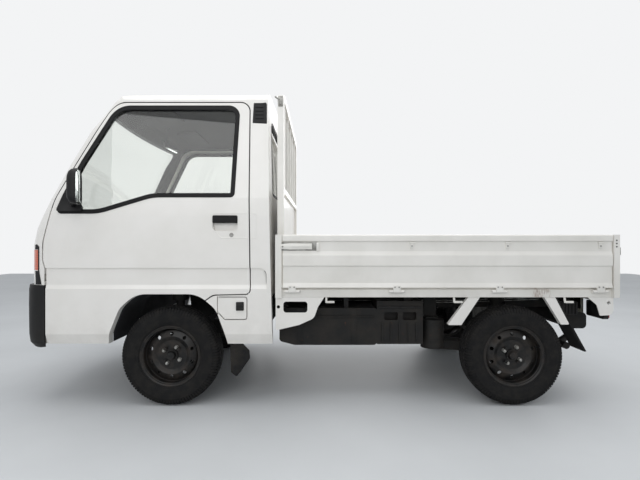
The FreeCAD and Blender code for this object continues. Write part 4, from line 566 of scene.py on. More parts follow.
def add_bar(bm, path, radius, steps=10, bend=None):
    """A round bar along a path of points, with its corners bent to a radius and its ends closed."""
    points = [Vector(p) for p in path]
    bend = bend or radius * 2.5
    run = [points[0]]
    for before, corner, after in zip(points, points[1:], points[2:]):
        angle = (before - corner).angle(after - corner)
        reach = min(bend / max(math.tan(angle / 2), 0.05), (before - corner).length * 0.45,
                    (after - corner).length * 0.45)
        start = corner + (before - corner).normalized() * reach
        end = corner + (after - corner).normalized() * reach
        run += [bend_point(start, corner, end, step / 4) for step in range(5)]
    run.append(points[-1])
    way = (run[1] - run[0]).normalized()
    side = way.orthogonal().normalized()
    rings = []
    for i, point in enumerate(run):
        ahead = run[min(i + 1, len(run) - 1)] - run[max(i - 1, 0)]
        ahead = ahead.normalized() if ahead.length > 1e-9 else way
        side = (side - ahead * side.dot(ahead)).normalized()
        other = ahead.cross(side)
        rings.append([bm.verts.new(point + (side * math.cos(2 * math.pi * k / steps)
                                            + other * math.sin(2 * math.pi * k / steps)) * radius)
                      for k in range(steps)])
    add_tube(bm, rings)


def soften(mesh, sharp_deg):
    """Shades a mesh smooth across soft angles and keeps edges sharper than sharp_deg."""
    for face in mesh.polygons:
        face.use_smooth = True
    mesh.set_sharp_from_angle(angle=math.radians(sharp_deg))


def hang(name, bm, finish, body="root", sharp_deg=35, tidy=True):
    """Closes a shape, turns its faces outwards and hangs it on a body of the truck."""
    if tidy:
        bmesh.ops.remove_doubles(bm, verts=bm.verts, dist=2e-5)
    bmesh.ops.recalc_face_normals(bm, faces=bm.faces)
    mesh = bpy.data.meshes.new(name)
    bm.to_mesh(mesh)
    bm.free()
    soften(mesh, sharp_deg)
    mesh.materials.append(finish)
    piece = bpy.data.objects.new(name, mesh)
    scene.collection.objects.link(piece)
    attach(piece, body)
    return piece


def middle_of(node):
    """The middle of a frame piece's box."""
    low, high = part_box(node)
    return (low + high) / 2


print("left front wheel's middle:", [round(v, 3) for v in middle_of("rim_front_left")])


# %% [markdown]
# ## Two trees for what repeats
#
# A tyre has the same pitch of tread a hundred times over, a wheel has four nuts, and a louvre is a
# row of slats. One pitch, nut or slat is modelled, and Geometry Nodes copy it: round an axle, or
# along a line. Copies go on turned or moved points, are made real, welded and given their finish,
# and the result becomes a plain mesh.

# %% Trees
def tree_with(name, step_inputs):
    """A geometry tree with one geometry in, one out, and named inputs for its sizes."""
    inputs = [("Copies", "NodeSocketInt"), *step_inputs, ("Weld", "NodeSocketFloat"),
              ("Finish", "NodeSocketMaterial")]
    tree = bpy.data.node_groups.new(name, "GeometryNodeTree")
    tree.interface.new_socket("Piece", in_out="INPUT", socket_type="NodeSocketGeometry")
    for label, kind in inputs:
        tree.interface.new_socket(label, in_out="INPUT", socket_type=kind)
    tree.interface.new_socket("Result", in_out="OUTPUT", socket_type="NodeSocketGeometry")
    return tree, add(tree, "NodeGroupInput").outputs, add(tree, "NodeGroupOutput")


def finish_tree(tree, given, points, spin, out):
    """Puts copies on points, makes them real, welds what touches and sets the finish."""
    on_points = {"Points": points, "Instance": given["Piece"]}
    if spin:
        on_points["Rotation"] = spin
    copies = add(tree, "GeometryNodeInstanceOnPoints", on_points).outputs[0]
    real = add(tree, "GeometryNodeRealizeInstances", {"Geometry": copies}).outputs[0]
    weld = {"Geometry": real, "Distance": given["Weld"]}
    welded = add(tree, "GeometryNodeMergeByDistance", weld).outputs[0]
    finish = {"Geometry": welded, "Material": given["Finish"]}
    done = add(tree, "GeometryNodeSetMaterial", finish).outputs[0]
    tree.links.new(done, out.inputs["Result"])
    return tree


def round_tree():
    """Copies turned evenly round an axle along Y."""
    tree, given, out = tree_with("copies_round_an_axle", [("Axle", "NodeSocketVector")])
    start = {"Count": given["Copies"], "Position": given["Axle"]}
    points = add(tree, "GeometryNodePoints", start).outputs[0]
    index = add(tree, "GeometryNodeInputIndex").outputs[0]
    step = add(tree, "ShaderNodeMath", {0: 2 * math.pi, 1: given["Copies"]}, operation="DIVIDE").outputs[0]
    turn = add(tree, "ShaderNodeMath", {0: index, 1: step}, operation="MULTIPLY").outputs[0]
    spin = add(tree, "ShaderNodeCombineXYZ", {"Y": turn}).outputs[0]
    return finish_tree(tree, given, points, spin, out)


def row_tree():
    """Copies in a straight row, one step apart."""
    tree, given, out = tree_with("copies_in_a_row", [("Step", "NodeSocketVector")])
    line = add(tree, "GeometryNodeMeshLine", {"Count": given["Copies"], "Offset": given["Step"]}).outputs[0]
    return finish_tree(tree, given, line, None, out)


ROUND = round_tree()
ROW = row_tree()


def run_tree(name, bm, tree, finish, body, sharp_deg=35, **values):
    """Runs a tree over one modelled element and hangs the plain mesh it makes on a body."""
    bmesh.ops.recalc_face_normals(bm, faces=bm.faces)
    element = bpy.data.meshes.new(name)
    bm.to_mesh(element)
    bm.free()
    piece = bpy.data.objects.new(name, element)
    scene.collection.objects.link(piece)
    modifier = piece.modifiers.new("repeat", "NODES")
    modifier.node_group = tree
    values["Finish"] = finish
    for socket in tree.interface.items_tree:
        if socket.in_out == "INPUT" and socket.name in values:
            modifier[socket.identifier] = values[socket.name]
    graph = bpy.context.evaluated_depsgraph_get()
    mesh = bpy.data.meshes.new_from_object(piece.evaluated_get(graph))
    piece.modifiers.clear()
    piece.data = mesh
    mesh.name = name
    soften(mesh, sharp_deg)
    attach(piece, body)
    return piece


print("trees:", ROUND.name, ROW.name)

# %% [markdown]
# ## Tyres
#
# Light truck tyres have plain ribs round the middle, for long wear, and open slots at the shoulders
# that let water out. The slots run a little way down the sidewall, where they show from the side as
# a ring of short dashes. One pitch of that pattern, from bead to bead, is modelled as a grid: rows
# across the tyre, columns along it, with the slot's columns pressed in. A hundred pitches make a tyre.

# %% One pitch of tread
PITCHES = 100
TYRE_R = 0.271
WHEELS = ("front_left", "front_right", "rear_left", "rear_right")
# across the tyre from the bead to the middle: distance from the middle plane, radius
HALF_SECTION = [
    (0.0460, 0.1527), (0.0540, 0.1530), (0.0560, 0.1600), (0.0585, 0.1690), (0.0615, 0.1745),
    (0.0640, 0.1750), (0.0650, 0.1790), (0.0680, 0.1890), (0.0686, 0.1892), (0.0700, 0.1965),
    (0.0722, 0.2120), (0.0724, 0.2210), (0.0718, 0.2300), (0.0721, 0.2312), (0.0712, 0.2330),
    (0.0700, 0.2410), (0.0680, 0.2500), (0.0655, 0.2565), (0.0620, 0.2612), (0.0560, 0.2648),
    (0.0470, 0.2673), (0.0440, 0.2620), (0.0400, 0.2620), (0.0370, 0.2688), (0.0200, 0.2700),
    (0.0175, 0.2645), (0.0135, 0.2645), (0.0110, 0.2706),
]
COLUMNS = [0.0, 0.16, 0.34, 0.40, 0.60, 0.66, 0.84, 1.0]
# a slot's columns, its inner end on the sidewall and in the tread, and how deep it is in each
SLOT_COLUMNS = (3, 4)
SLOT_FROM_R, SLOT_FROM_Y = 0.2405, 0.046
TREAD_FROM_R, TREAD_SLOT, WALL_SLOT = 0.255, 0.0040, 0.0022
# the grooves between the ribs swing from side to side
ZIGZAG, GROOVES_TO_Y, GROOVES_FROM_R = 0.0022, 0.045, 0.26


def tread_pitch():
    """One pitch of the tyre round an axle along Y, as a grid that joins the next pitch."""
    bm = bmesh.new()
    section = HALF_SECTION + [(-across, radius) for across, radius in reversed(HALF_SECTION)]
    grid = []
    for column, part in enumerate(COLUMNS):
        turn = 2 * math.pi * part / PITCHES
        swing = ZIGZAG * (1 - abs(2 * part - 1)) * 2 - ZIGZAG
        line = []
        for across, radius in section:
            if column in SLOT_COLUMNS and radius > SLOT_FROM_R and abs(across) > SLOT_FROM_Y:
                radius -= TREAD_SLOT if radius > TREAD_FROM_R else WALL_SLOT
                across -= math.copysign(WALL_SLOT, across)
            if abs(across) < GROOVES_TO_Y and radius > GROOVES_FROM_R:
                across += swing
            line.append(bm.verts.new((radius * math.sin(turn), across, radius * math.cos(turn))))
        grid.append(line)
    for near, far in zip(grid, grid[1:]):
        for row in range(len(section)):
            bm.faces.new([near[row - 1], near[row], far[row], far[row - 1]])
    return bm


for end in WHEELS:
    tyre = run_tree("treaded_tyre_" + end, tread_pitch(), ROUND, tyre_rubber, "wheel_" + end, 28,
                    Copies=PITCHES, Axle=tuple(middle_of("tyre_" + end)), Weld=0.0002)
    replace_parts(tyre, "tyre_" + end)
print("tyre faces:", len(tyre.data.polygons), "across:", round(2 * TYRE_R * 1000), "mm")


# %% [markdown]
# ## Wheel nuts and valves
#
# Four zinc-plated nuts hold each wheel. A nut is a hexagon whose corners are turned off at the top,
# with a stud's end in it, so it is turned with six steps and then again, finer, for the stud.

# %% Nuts
STUD_CIRCLE_R = 0.05
FIRST_NUT_DEG = 31.0
NUT_SEAT_Y = 0.0262


def wheel_nut(outward):
    """A nut and its stud on the stud circle, a third of a step round, on an axle along Y."""
    bm = bmesh.new()
    turn = math.radians(FIRST_NUT_DEG)
    place = Vector((STUD_CIRCLE_R * math.sin(turn), outward * NUT_SEAT_Y, STUD_CIRCLE_R * math.cos(turn)))
    way = Vector((0.0, outward, 0.0))
    add_turned(bm, [(0.0, 0.0), (0.0122, 0.0), (0.0122, 0.0015), (0.0112, 0.0025), (0.0112, 0.0125),
                    (0.0098, 0.0158), (0.0, 0.0158)], place, way, 6)
    add_turned(bm, [(0.0062, 0.0150), (0.0062, 0.0205), (0.0048, 0.0218), (0.0, 0.0218)], place, way, 14)
    return bm


for end in WHEELS:
    outward = -1.0 if end.endswith("left") else 1.0
    middle = middle_of("tyre_" + end)
    nuts = run_tree("wheel_nuts_" + end, wheel_nut(outward), ROUND, zinc_steel, "wheel_" + end,
                    Copies=4, Axle=tuple(middle), Weld=0.00001)
    bm = bmesh.new()
    stem = [(0.128, 0.030, 0.045), (0.134, 0.042, 0.047), (0.138, 0.060, 0.049)]
    add_bar(bm, [middle + Vector((x, outward * y, z)) for x, y, z in stem], 0.0042)
    hang("tyre_valve_" + end, bm, strip_rubber, "wheel_" + end)
print("nuts on the last wheel:", len(nuts.data.polygons), "faces")

# %% [markdown]
# ## Laying thin pieces on the bodywork
#
# Lamp surrounds, rubber strips and door cards follow the pressed panels under them. So the panel is
# asked where its surface is: a ray is sent at it from outside, and the new piece's points are put
# where the rays land, lifted by the thickness of the piece. A grid of such points makes a fitted
# sheet, and two loops of them make a strip that bridges a panel and its glass.

# %% Fitted sheets and strips
NOSE_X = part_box("front_bumper")[0].x
HALF_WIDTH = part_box("bed")[1].y
AHEAD_X = NOSE_X - 0.3  # where rays at the nose start
BESIDE_Y = 1.2  # and where rays at the sides start


def surfaces_of(*nodes):
    """The surfaces of some frame pieces, for rays to land on."""
    verts, faces = [], []
    for node in nodes:
        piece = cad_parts[node]
        start = len(verts)
        verts += [piece.matrix_world @ v.co for v in piece.data.vertices]
        faces += [[start + i for i in face.vertices] for face in piece.data.polygons]
    return BVHTree.FromPolygons(verts, faces)


def landed(surface, start, way, lift):
    """Where a ray from start along way lands on a surface, lifted back towards its start."""
    way = Vector(way).normalized()
    spot, normal = surface.ray_cast(Vector(start), way)[:2]
    if spot is None:
        return None, None
    if normal.dot(way) > 0:
        normal = -normal
    return spot + normal * lift, normal


def landed_line(surface, starts, way, lift=0.0):
    """Where rays from a line of starts land, with the surface's normals there."""
    spots, normals = [], []
    for start in starts:
        spot, normal = landed(surface, start, way, lift)
        spots.append(spots[-1] if spot is None else spot)
        normals.append(normals[-1] if spot is None else normal)
    return spots, normals


def side_drawing(sign, x=0.0, y=BESIDE_Y, z=0.0):
    """A drawing on one side of the truck, with its Z pointing outwards."""
    return facing((x, sign * y, z), (-sign, 0, 0))


def drawn(sign, line):
    """A line of x and z as that side's drawing has it."""
    return [(-sign * x, z) for x, z in line]


def on_side(surface, sign, x, z, lift):
    """Where a side panel is at a place seen from the side, lifted outwards, and its normal."""
    return landed(surface, (x, sign * BESIDE_Y, z), (0, -sign, 0), lift)


def fitted_sheet(bm, surface, place, outline, cell, lift, thickness):
    """A sheet with a flat drawing's outline, laid on a surface along the drawing's own depth."""
    way = -(place.to_3x3() @ Vector((0.0, 0.0, 1.0)))
    flat = bmesh.new()
    flat.faces.new([flat.verts.new((p[0], p[1], 0.0)) for p in outline])
    low = [min(p[i] for p in outline) for i in (0, 1)]
    high = [max(p[i] for p in outline) for i in (0, 1)]
    for axis in (0, 1):
        count = max(int((high[axis] - low[axis]) / cell), 1)
        for i in range(1, count):
            at = Vector((0.0, 0.0, 0.0))
            at[axis] = low[axis] + (high[axis] - low[axis]) * i / count
            normal = Vector((1.0, 0.0, 0.0)) if axis == 0 else Vector((0.0, 1.0, 0.0))
            bmesh.ops.bisect_plane(flat, geom=list(flat.verts) + list(flat.edges) + list(flat.faces),
                                   plane_co=at, plane_no=normal)
    flat.verts.index_update()
    tops, feet = {}, {}
    for v in flat.verts:
        spot, normal = landed(surface, place @ v.co, way, lift)
        if spot is not None:
            tops[v.index] = bm.verts.new(spot + normal * thickness)
            feet[v.index] = bm.verts.new(spot)
    for face in flat.faces:
        ring = [v.index for v in face.verts]
        if all(i in tops for i in ring):
            bm.faces.new([tops[i] for i in ring])
            bm.faces.new([feet[i] for i in reversed(ring)])
    for edge in flat.edges:
        a, b = (v.index for v in edge.verts)
        if edge.is_boundary and a in tops and b in tops:
            bm.faces.new([tops[a], tops[b], feet[b], feet[a]])
    flat.free()


def strip_between(bm, outer, inner, height, foot):
    """A closed strip of rubber whose two edges follow two loops of points with their normals."""
    rings = []
    for a, b, up_a, up_b in zip(outer[0], inner[0], outer[1], inner[1]):
        rings.append([bm.verts.new(p) for p in (
            a - up_a * foot, a + up_a * height * 0.7, a.lerp(b, 0.3) + (up_a + up_b) * height * 0.6,
            a.lerp(b, 0.75) + (up_a + up_b) * height * 0.55, b + up_b * height * 0.5, b - up_b * foot)])
    count = len(rings)
    for i in range(count):
        near, far = rings[i], rings[(i + 1) % count]
        for k in range(6):
            bm.faces.new([near[k], near[(k + 1) % 6], far[(k + 1) % 6], far[k]])


def grown(outline, amount):
    """An outline moved outwards by an amount, point by point."""
    points = [Vector(p[:2]) for p in outline]
    turn = sum(a.x * b.y - b.x * a.y for a, b in zip(points, points[1:] + points[:1]))
    sign = 1.0 if turn > 0 else -1.0
    result = []
    for before, here, after in zip(points[-1:] + points, points, points[1:] + points[:1]):
        way = (after - before).normalized()
        result.append(here + Vector((way.y, -way.x)) * amount * sign)
    return result


print("ready to lay pieces on", len(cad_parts), "panels")


# %% [markdown]
# ## Windscreen and rear window rubber
#
# The glass sits in an extruded rubber channel: one lip on the painted flange, the other on the
# glass. The openings' corners are rounded, and the strip runs round them in one piece.

# %% Screen rubbers
def screen_rubber(name, opening, radii, panel, from_x, way):
    """The rubber channel round a screen, seated on its panel outside and on the glass inside."""
    line = rounded(opening, radii, 7)
    dense = []
    for a, b in zip(line, line[1:] + line[:1]):
        steps = max(int((b - a).length / 0.03), 1)
        dense += [a.lerp(b, i / steps) for i in range(steps)]
    lips = [landed_line(surfaces_of(node), [(from_x, p.x, p.y) for p in grown(dense, amount)], way)
            for node, amount in ((panel, 0.011), ("cab_glass", -0.014))]
    bm = bmesh.new()
    strip_between(bm, *lips, 0.0035, 0.0003)
    hang(name, bm, strip_rubber, sharp_deg=50)


screen_rubber("windscreen_rubber", [(-0.612, 1.062), (-0.540, 1.640), (0.540, 1.640), (0.612, 1.062)],
              [0.06, 0.07, 0.07, 0.06], "cab_nose", AHEAD_X, (1, 0, 0))
screen_rubber("rear_window_rubber", [(-0.520, 1.180), (-0.480, 1.600), (0.480, 1.600), (0.520, 1.180)],
              [0.05, 0.06, 0.06, 0.05], "cab_back", -0.15, (-1, 0, 0))
print("screen rubbers laid")


# %% [markdown]
# ## Louvred vents behind the doors
#
# Stale air leaves the cab through a black plastic vent at each rear corner. It fills its pressed
# recess: a grained plate with four raised slats, one over the other. One slat is modelled and
# repeated up the plate.

# %% Vents
VENT_LINE = [(-0.3495, 1.5565), (-0.3455, 1.6715), (-0.2725, 1.6715), (-0.2705, 1.5525)]
VENT_SLATS = 4
VENT_PITCH = 0.0215
FIRST_SLAT = (-0.312, 1.580)
VENT_THICK = 0.0095
SLAT_SIZE = (0.0470, 0.0105)
for side, sign in SIDES:
    panel = surfaces_of("cab_back", "cab_roof")
    bm = bmesh.new()
    plate = rounded(drawn(sign, VENT_LINE), [0.004, 0.009, 0.012, 0.003])
    fitted_sheet(bm, panel, side_drawing(sign), plate, 0.02, 0.0003, VENT_THICK)
    hang("vent_plate_" + side, bm, bumper_plastic)
    x, z = FIRST_SLAT
    foot, out = on_side(panel, sign, x, z, VENT_THICK)
    head = on_side(panel, sign, x, z + VENT_PITCH * (VENT_SLATS - 1), VENT_THICK)[0]
    bm = bmesh.new()
    slat_place = facing(foot + out * 0.0003, (-sign, 0, 0), Vector((0, 0, 1)) - out * out.z)
    add_plate(bm, SLAT_SIZE, 0.003, slat_place, 0.0028, 0.0008, (0.0, SLAT_SIZE[1] / 2))
    step = (head - foot) / (VENT_SLATS - 1)
    run_tree("vent_slats_" + side, bm, ROW, bumper_plastic, "root",
             Copies=VENT_SLATS, Step=tuple(step), Weld=0.00001)
print("vents laid, slats each:", VENT_SLATS)

# %% [markdown]
# ## Headlamps
#
# A headlamp of this kind is a pressed bowl, aluminised inside, with a halogen bulb at its focus and
# a fluted lens clipped over its mouth in a black bezel. The flutes spread the beam, so the bowl
# shows through only as soft bright shapes. Bowl, bulb, bezel and lens are separate pieces, and the
# lenses stand for the plain lamp solids of the frame.

# %% Headlamps
LAMP_AT = (0.480, 0.800)
LAMP_SIZE = (0.190, 0.150)
BOWL_DEPTH = 0.030

mirror_coat = cast_metal("aluminised_lamp_bowl", "D8DADB", "C6C9CB", 1.0, 0.0)
lamp_faces = surfaces_of("headlamps")
lamp_and_nose = surfaces_of("headlamps", "cab_nose")


# a drawing on the truck's nose, whose right is towards the truck's left side
NOSE_DRAWING = facing((AHEAD_X, 0.0, 0.0), (0, -1, 0))


def lamp_outline(sign, shrink, radius):
    """The lamp's rounded mouth in the nose drawing."""
    size = (LAMP_SIZE[0] - 2 * shrink, LAMP_SIZE[1] - 2 * shrink)
    return rounded(rectangle(*size, centre=(-sign * LAMP_AT[0], LAMP_AT[1])), radius)


def on_nose(surface, x, y, lift=0.0):
    """Where a place in the nose drawing lies on a surface, and its normal there."""
    return landed(surface, NOSE_DRAWING @ Vector((x, y, 0.0)), (1, 0, 0), lift)


BOWL_STEPS, BOWL_EDGE = 18, 0.004
BULB = [(0.0, 0.0), (0.008, 0.0), (0.008, 0.008), (0.0055, 0.010), (0.0055, 0.020), (0.0035, 0.0245),
        (0.0, 0.0255)]
lenses = bmesh.new()
bezels = bmesh.new()
bowls = bmesh.new()
bulbs = bmesh.new()
for sign in (-1.0, 1.0):
    middle_x = -sign * LAMP_AT[0]
    fitted_sheet(lenses, lamp_faces, NOSE_DRAWING, lamp_outline(sign, 0.008, 0.013), 0.012, -0.004, 0.003)
    edges = [landed_line(lamp_and_nose, [NOSE_DRAWING @ Vector((*p, 0.0)) for p in line], (1, 0, 0))
             for line in (lamp_outline(sign, 0.0005, 0.015), lamp_outline(sign, 0.010, 0.010))]
    strip_between(bezels, *edges, 0.002, 0.004)
    grid = []
    for row in range(BOWL_STEPS + 1):
        line = []
        for column in range(BOWL_STEPS + 1):
            u, v = 2 * column / BOWL_STEPS - 1, 2 * row / BOWL_STEPS - 1
            spot, normal = on_nose(lamp_and_nose, middle_x + u * (LAMP_SIZE[0] / 2 - BOWL_EDGE),
                                   LAMP_AT[1] + v * (LAMP_SIZE[1] / 2 - BOWL_EDGE))
            deep = 0.006 + BOWL_DEPTH * (1 - min(1.0, abs(u) ** 3 + abs(v) ** 3))
            line.append(bowls.verts.new(spot - normal * deep))
        grid.append(line)
    for near, far in zip(grid, grid[1:]):
        for k in range(BOWL_STEPS):
            bowls.faces.new([near[k], near[k + 1], far[k + 1], far[k]])
    focus, normal = on_nose(lamp_faces, middle_x, LAMP_AT[1], -0.036)
    add_turned(bulbs, BULB, focus, normal, 16)

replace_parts(hang("headlamp_lenses", lenses, clear_lens), "headlamps")
hang("headlamp_bezels", bezels, bumper_plastic, sharp_deg=50)
hang("headlamp_bowls", bowls, mirror_coat, sharp_deg=60, tidy=False)
hang("headlamp_bulbs", bulbs, clear_lens)
print("headlamps at", [round(v, 3) for v in focus])


# %% [markdown]
# ## Corner frames
#
# The amber corner lamps sit in black plastic frames that carry on down to the bumper, where they
# cover the joint between the nose and the door. They wrap the same corner as the lamp, so they are
# laid on the panels there from the side.

# %% Corner frames
FRAME_PARTS = [
    [(-1.522, 0.857), (-1.520, 0.881), (-1.509, 0.885), (-1.4925, 0.872), (-1.4925, 0.857)],
    [(-1.4985, 0.741), (-1.4985, 0.857), (-1.4925, 0.857), (-1.4925, 0.741)],
    [(-1.516, 0.668), (-1.520, 0.741), (-1.4925, 0.741), (-1.4780, 0.668)],
]
for side, sign in SIDES:
    corner = surfaces_of("cab_nose", "turn_lamps")
    bm = bmesh.new()
    for part in FRAME_PARTS:
        fitted_sheet(bm, corner, side_drawing(sign), drawn(sign, part), 0.008, 0.0002, 0.0025)
    hang("corner_frame_" + side, bm, bumper_plastic)
print("corner frames laid:", len(FRAME_PARTS), "parts each")


# %% [markdown]
# ## Door mirrors
#
# A mirror's glass is a silvered plate with eased edges, held a little inside the rear face of its
# shell. The shells are turned towards the driver, so the glass takes their turn about the upright.

# %% Mirror glass
SHELL_TURN = math.radians(17.0)
SHELL_DEEP = 0.048
GLASS_SIZE = (0.112, 0.168)
silvered = new_finish("silvered_mirror_glass", Base_Color=linear("DDE1E2"), Metallic=1.0, Roughness=0.03)[0]
shade = silvered.node_tree
haze = share(shade, noise(shade, place_of(shade), 30, 4.0), 0.4, 0.8, 0.02, 0.10)
shade.links.new(haze, shade.nodes["Principled BSDF"].inputs["Roughness"])
SHELL_X = NOSE_X + 0.4085
SHELL_OUT, SHELL_Z = 0.110, 1.1825


def shell_place(sign):
    """The middle of a mirror's shell and the way that its open side looks."""
    out = Vector((math.cos(SHELL_TURN), -sign * math.sin(SHELL_TURN), 0.0))
    return Vector((SHELL_X, sign * (HALF_WIDTH + SHELL_OUT), SHELL_Z)), out


for side, sign in SIDES:
    middle, out = shell_place(sign)
    bm = bmesh.new()
    face = rounded(rectangle(*GLASS_SIZE), [0.034, 0.034, 0.052, 0.052], 8)
    seat = middle + out * (SHELL_DEEP / 2 - 0.0032)
    add_slab(bm, face, facing(seat, (-out.y, out.x, 0)), 0.0025, 0.001)
    hang("mirror_glass_" + side, bm, silvered, "door_" + side)
print("mirror glass turned", round(math.degrees(SHELL_TURN)), "degrees inwards")


# %% [markdown]
# ## Wipers and washer jets
#
# Two wipers rest along the foot of the windscreen. Each has a cast pivot with a domed nut, a slim
# arm, and a rubber blade in a claw. The arm and blade lie on the glass, so their points are taken
# from it.

# %% Wipers
wiper_black = moulded_plastic("satin_black_wiper_paint", "1A1A1B", "262626", 0.42, 2.5, 0.0, 0.0)
screen = surfaces_of("cab_glass", "cab_nose")


def on_screen(y, z, lift):
    """A point on the windscreen at a width and a height, lifted off the glass, and its normal."""
    return landed(screen, (AHEAD_X, y, z), (1, 0, 0), lift)


PIVOTS_Y, PIVOT_Z, JETS_Y, JET_Z = (-0.36, 0.10), 1.030, (-0.22, 0.24), 1.012
BLADE_RUN, BLADE_Z, BLADE_RISE, BLADE_POINTS = 0.44, 1.078, 0.012, 7
PIVOT_NUT = [(0.0, 0.0), (0.014, 0.0), (0.014, 0.012), (0.010, 0.020), (0.0, 0.022)]
JET = [(0.0, 0.0), (0.009, 0.0), (0.009, 0.004), (0.004, 0.009), (0.0, 0.010)]
bm = bmesh.new()
blades = bmesh.new()
for pivot_y in PIVOTS_Y:
    foot, normal = on_screen(pivot_y, PIVOT_Z, 0.0)
    add_turned(bm, PIVOT_NUT, foot, normal, 20)
    add_bar(bm, [foot + normal * 0.014, on_screen(pivot_y + 0.10, 1.055, 0.020)[0],
                 on_screen(pivot_y + 0.30, 1.085, 0.016)[0]], 0.0045, 8)
    line = [on_screen(pivot_y + 0.06 + BLADE_RUN * i / (BLADE_POINTS - 1),
                      BLADE_Z + BLADE_RISE * i / (BLADE_POINTS - 1), 0.007)[0] for i in range(BLADE_POINTS)]
    add_bar(blades, line, 0.0045, 8)
    claw = [p + Vector((-0.005, 0, 0.002)) for p in line[1:6]]
    add_bar(bm, claw, 0.0032, 8)
hang("wiper_arms", bm, wiper_black)
hang("wiper_blades", blades, strip_rubber)
bm = bmesh.new()
for y in JETS_Y:
    foot, normal = on_screen(y, JET_Z, 0.0)
    add_turned(bm, JET, foot, normal, 14)
hang("washer_jets", bm, wiper_black)
print("wipers and jets laid on the glass")


# %% [markdown]
# ## Number plates
#
# The plates are pressed aluminium with a raised rim, painted pale and left blank, on two bolts each.
# A small black lamp over the rear one lights it.

# %% Plates
plate_paint = enamel("blank_plate_paint", "E7E4D2", "DDDAC9", 0.5, 0.3)[0]
PLATE_SIZE, RIM_INSIDE = (0.330, 0.165), (0.318, 0.153)
PLATE_BOLTS_X, PLATE_BOLTS_Z = (-0.105, 0.105), 0.058


def number_plate(name, surface, origin, right, way):
    """A blank plate laid on a surface, with a rim and its two bolts."""
    bm = bmesh.new()
    place = facing(origin, right)
    outer = rounded(rectangle(*PLATE_SIZE), 0.008)
    inner = rounded(rectangle(*RIM_INSIDE), 0.005)
    fitted_sheet(bm, surface, place, outer, 0.04, 0.0025, 0.0012)
    rim = [landed_line(surface, [place @ Vector((*p, 0.0)) for p in line], way, 0.0037)
           for line in (outer, inner)]
    strip_between(bm, *rim, 0.0012, 0.0012)
    hang(name, bm, plate_paint, sharp_deg=40)
    bolts = bmesh.new()
    head = [(0.0, 0.0), (0.0075, 0.0), (0.0075, 0.0065), (0.0062, 0.0078), (0.0, 0.0078)]
    for x in PLATE_BOLTS_X:
        foot, normal = landed(surface, place @ Vector((x, PLATE_BOLTS_Z, 0.0)), way, 0.0)
        add_turned(bolts, head, foot, normal, 6)
    hang(name + "_bolts", bolts, zinc_steel)


number_plate("front_number_plate", surfaces_of("front_bumper"), (AHEAD_X, 0.0, 0.520), (0, -1, 0), (1, 0, 0))
print("front plate laid")

# %% [markdown]
# ## Mirror shells
#
# A door mirror's shell is a deep moulded dish, full at the back and open to its glass, arched at the
# top where the wind leaves it. It sits on a short arm that rises from a triangular foot in the window's
# front corner. One outline is stacked at growing sizes to make the dish, and the whole mirror stands
# for the plainer one of the frame.

# %% Mirror shells
def add_dish(bm, outline, place, profile):
    """Stacks an outline at several sizes and depths along a drawing's Z, closed at both ends."""
    middle = sum((Vector((p[0], p[1])) for p in outline), Vector((0, 0))) / len(outline)
    rings = []
    for size, depth in profile:
        ring = [middle + (Vector((p[0], p[1])) - middle) * size for p in outline]
        rings.append([bm.verts.new(place @ Vector((p.x, p.y, depth))) for p in ring])
    add_tube(bm, rings)


SHELL_SIZE = (0.130, 0.185)
SHELL_PROFILE = [(0.50, 0.0), (0.72, 0.0035), (0.86, 0.010), (0.95, 0.020), (0.99, 0.033), (1.0, 0.044),
                 (0.985, 0.048), (0.955, 0.048), (0.945, 0.0445)]
SAIL_LINE = [(NOSE_X + 0.2525, 1.062), (NOSE_X + 0.3225, 1.225), (NOSE_X + 0.3975, 1.062)]
for side, sign in SIDES:
    middle, out = shell_place(sign)
    place = facing(middle - out * (SHELL_DEEP / 2), (-out.y, out.x, 0))
    shell = rounded(rectangle(*SHELL_SIZE), [0.040, 0.040, 0.062, 0.062], 8)
    bm = bmesh.new()
    add_dish(bm, shell, place, SHELL_PROFILE)
    foot = Vector((NOSE_X + 0.330, sign * (HALF_WIDTH - 0.012), 1.098))
    add_bar(bm, [foot, foot + Vector((0.020, sign * 0.040, 0.004)),
                 middle + Vector((-0.010, -sign * 0.020, -0.055))], 0.0125, 14, 0.03)
    panels = surfaces_of("door_" + side, "door_trim_" + side, "door_glass_" + side)
    sail = rounded(drawn(sign, SAIL_LINE), 0.012)
    fitted_sheet(bm, panels, side_drawing(sign), sail, 0.02, 0.0008, 0.0120)
    mirror = hang("mirror_shell_" + side, bm, bumper_plastic, "door_" + side, sharp_deg=50)
    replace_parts(mirror, "mirror_" + side)
print("mirror shells", SHELL_SIZE, "m across and high")


# %% [markdown]
# ## Locks, pressed lines and the filler's latch
#
# Round the door pull the panel carries a pressed line that runs on across the joint, with the key's
# barrel in it. A pressed line is a ridge a millimetre high, so it is a thin bar half sunk in the
# panel. The filler flap has a square finger latch in black plastic.

# %% Locks and pressed lines
PULL_LINE = [(-0.364, 1.051), (-0.548, 1.051), (-0.554, 1.044), (-0.554, 0.965), (-0.508, 0.919),
             (-0.364, 0.919)]
PILLAR_LINE = [(-0.349, 1.051), (-0.324, 1.051), (-0.319, 1.045), (-0.319, 0.925), (-0.324, 0.919),
               (-0.349, 0.919)]
RIDGE_R = 0.0030
LOCK_AT = (-0.454, 0.935)
LOCK_PROFILE = [(0.0, 0.0), (0.0115, 0.0), (0.0115, 0.0016), (0.0095, 0.0030), (0.0070, 0.0030),
                (0.0066, 0.0016), (0.0, 0.0016)]


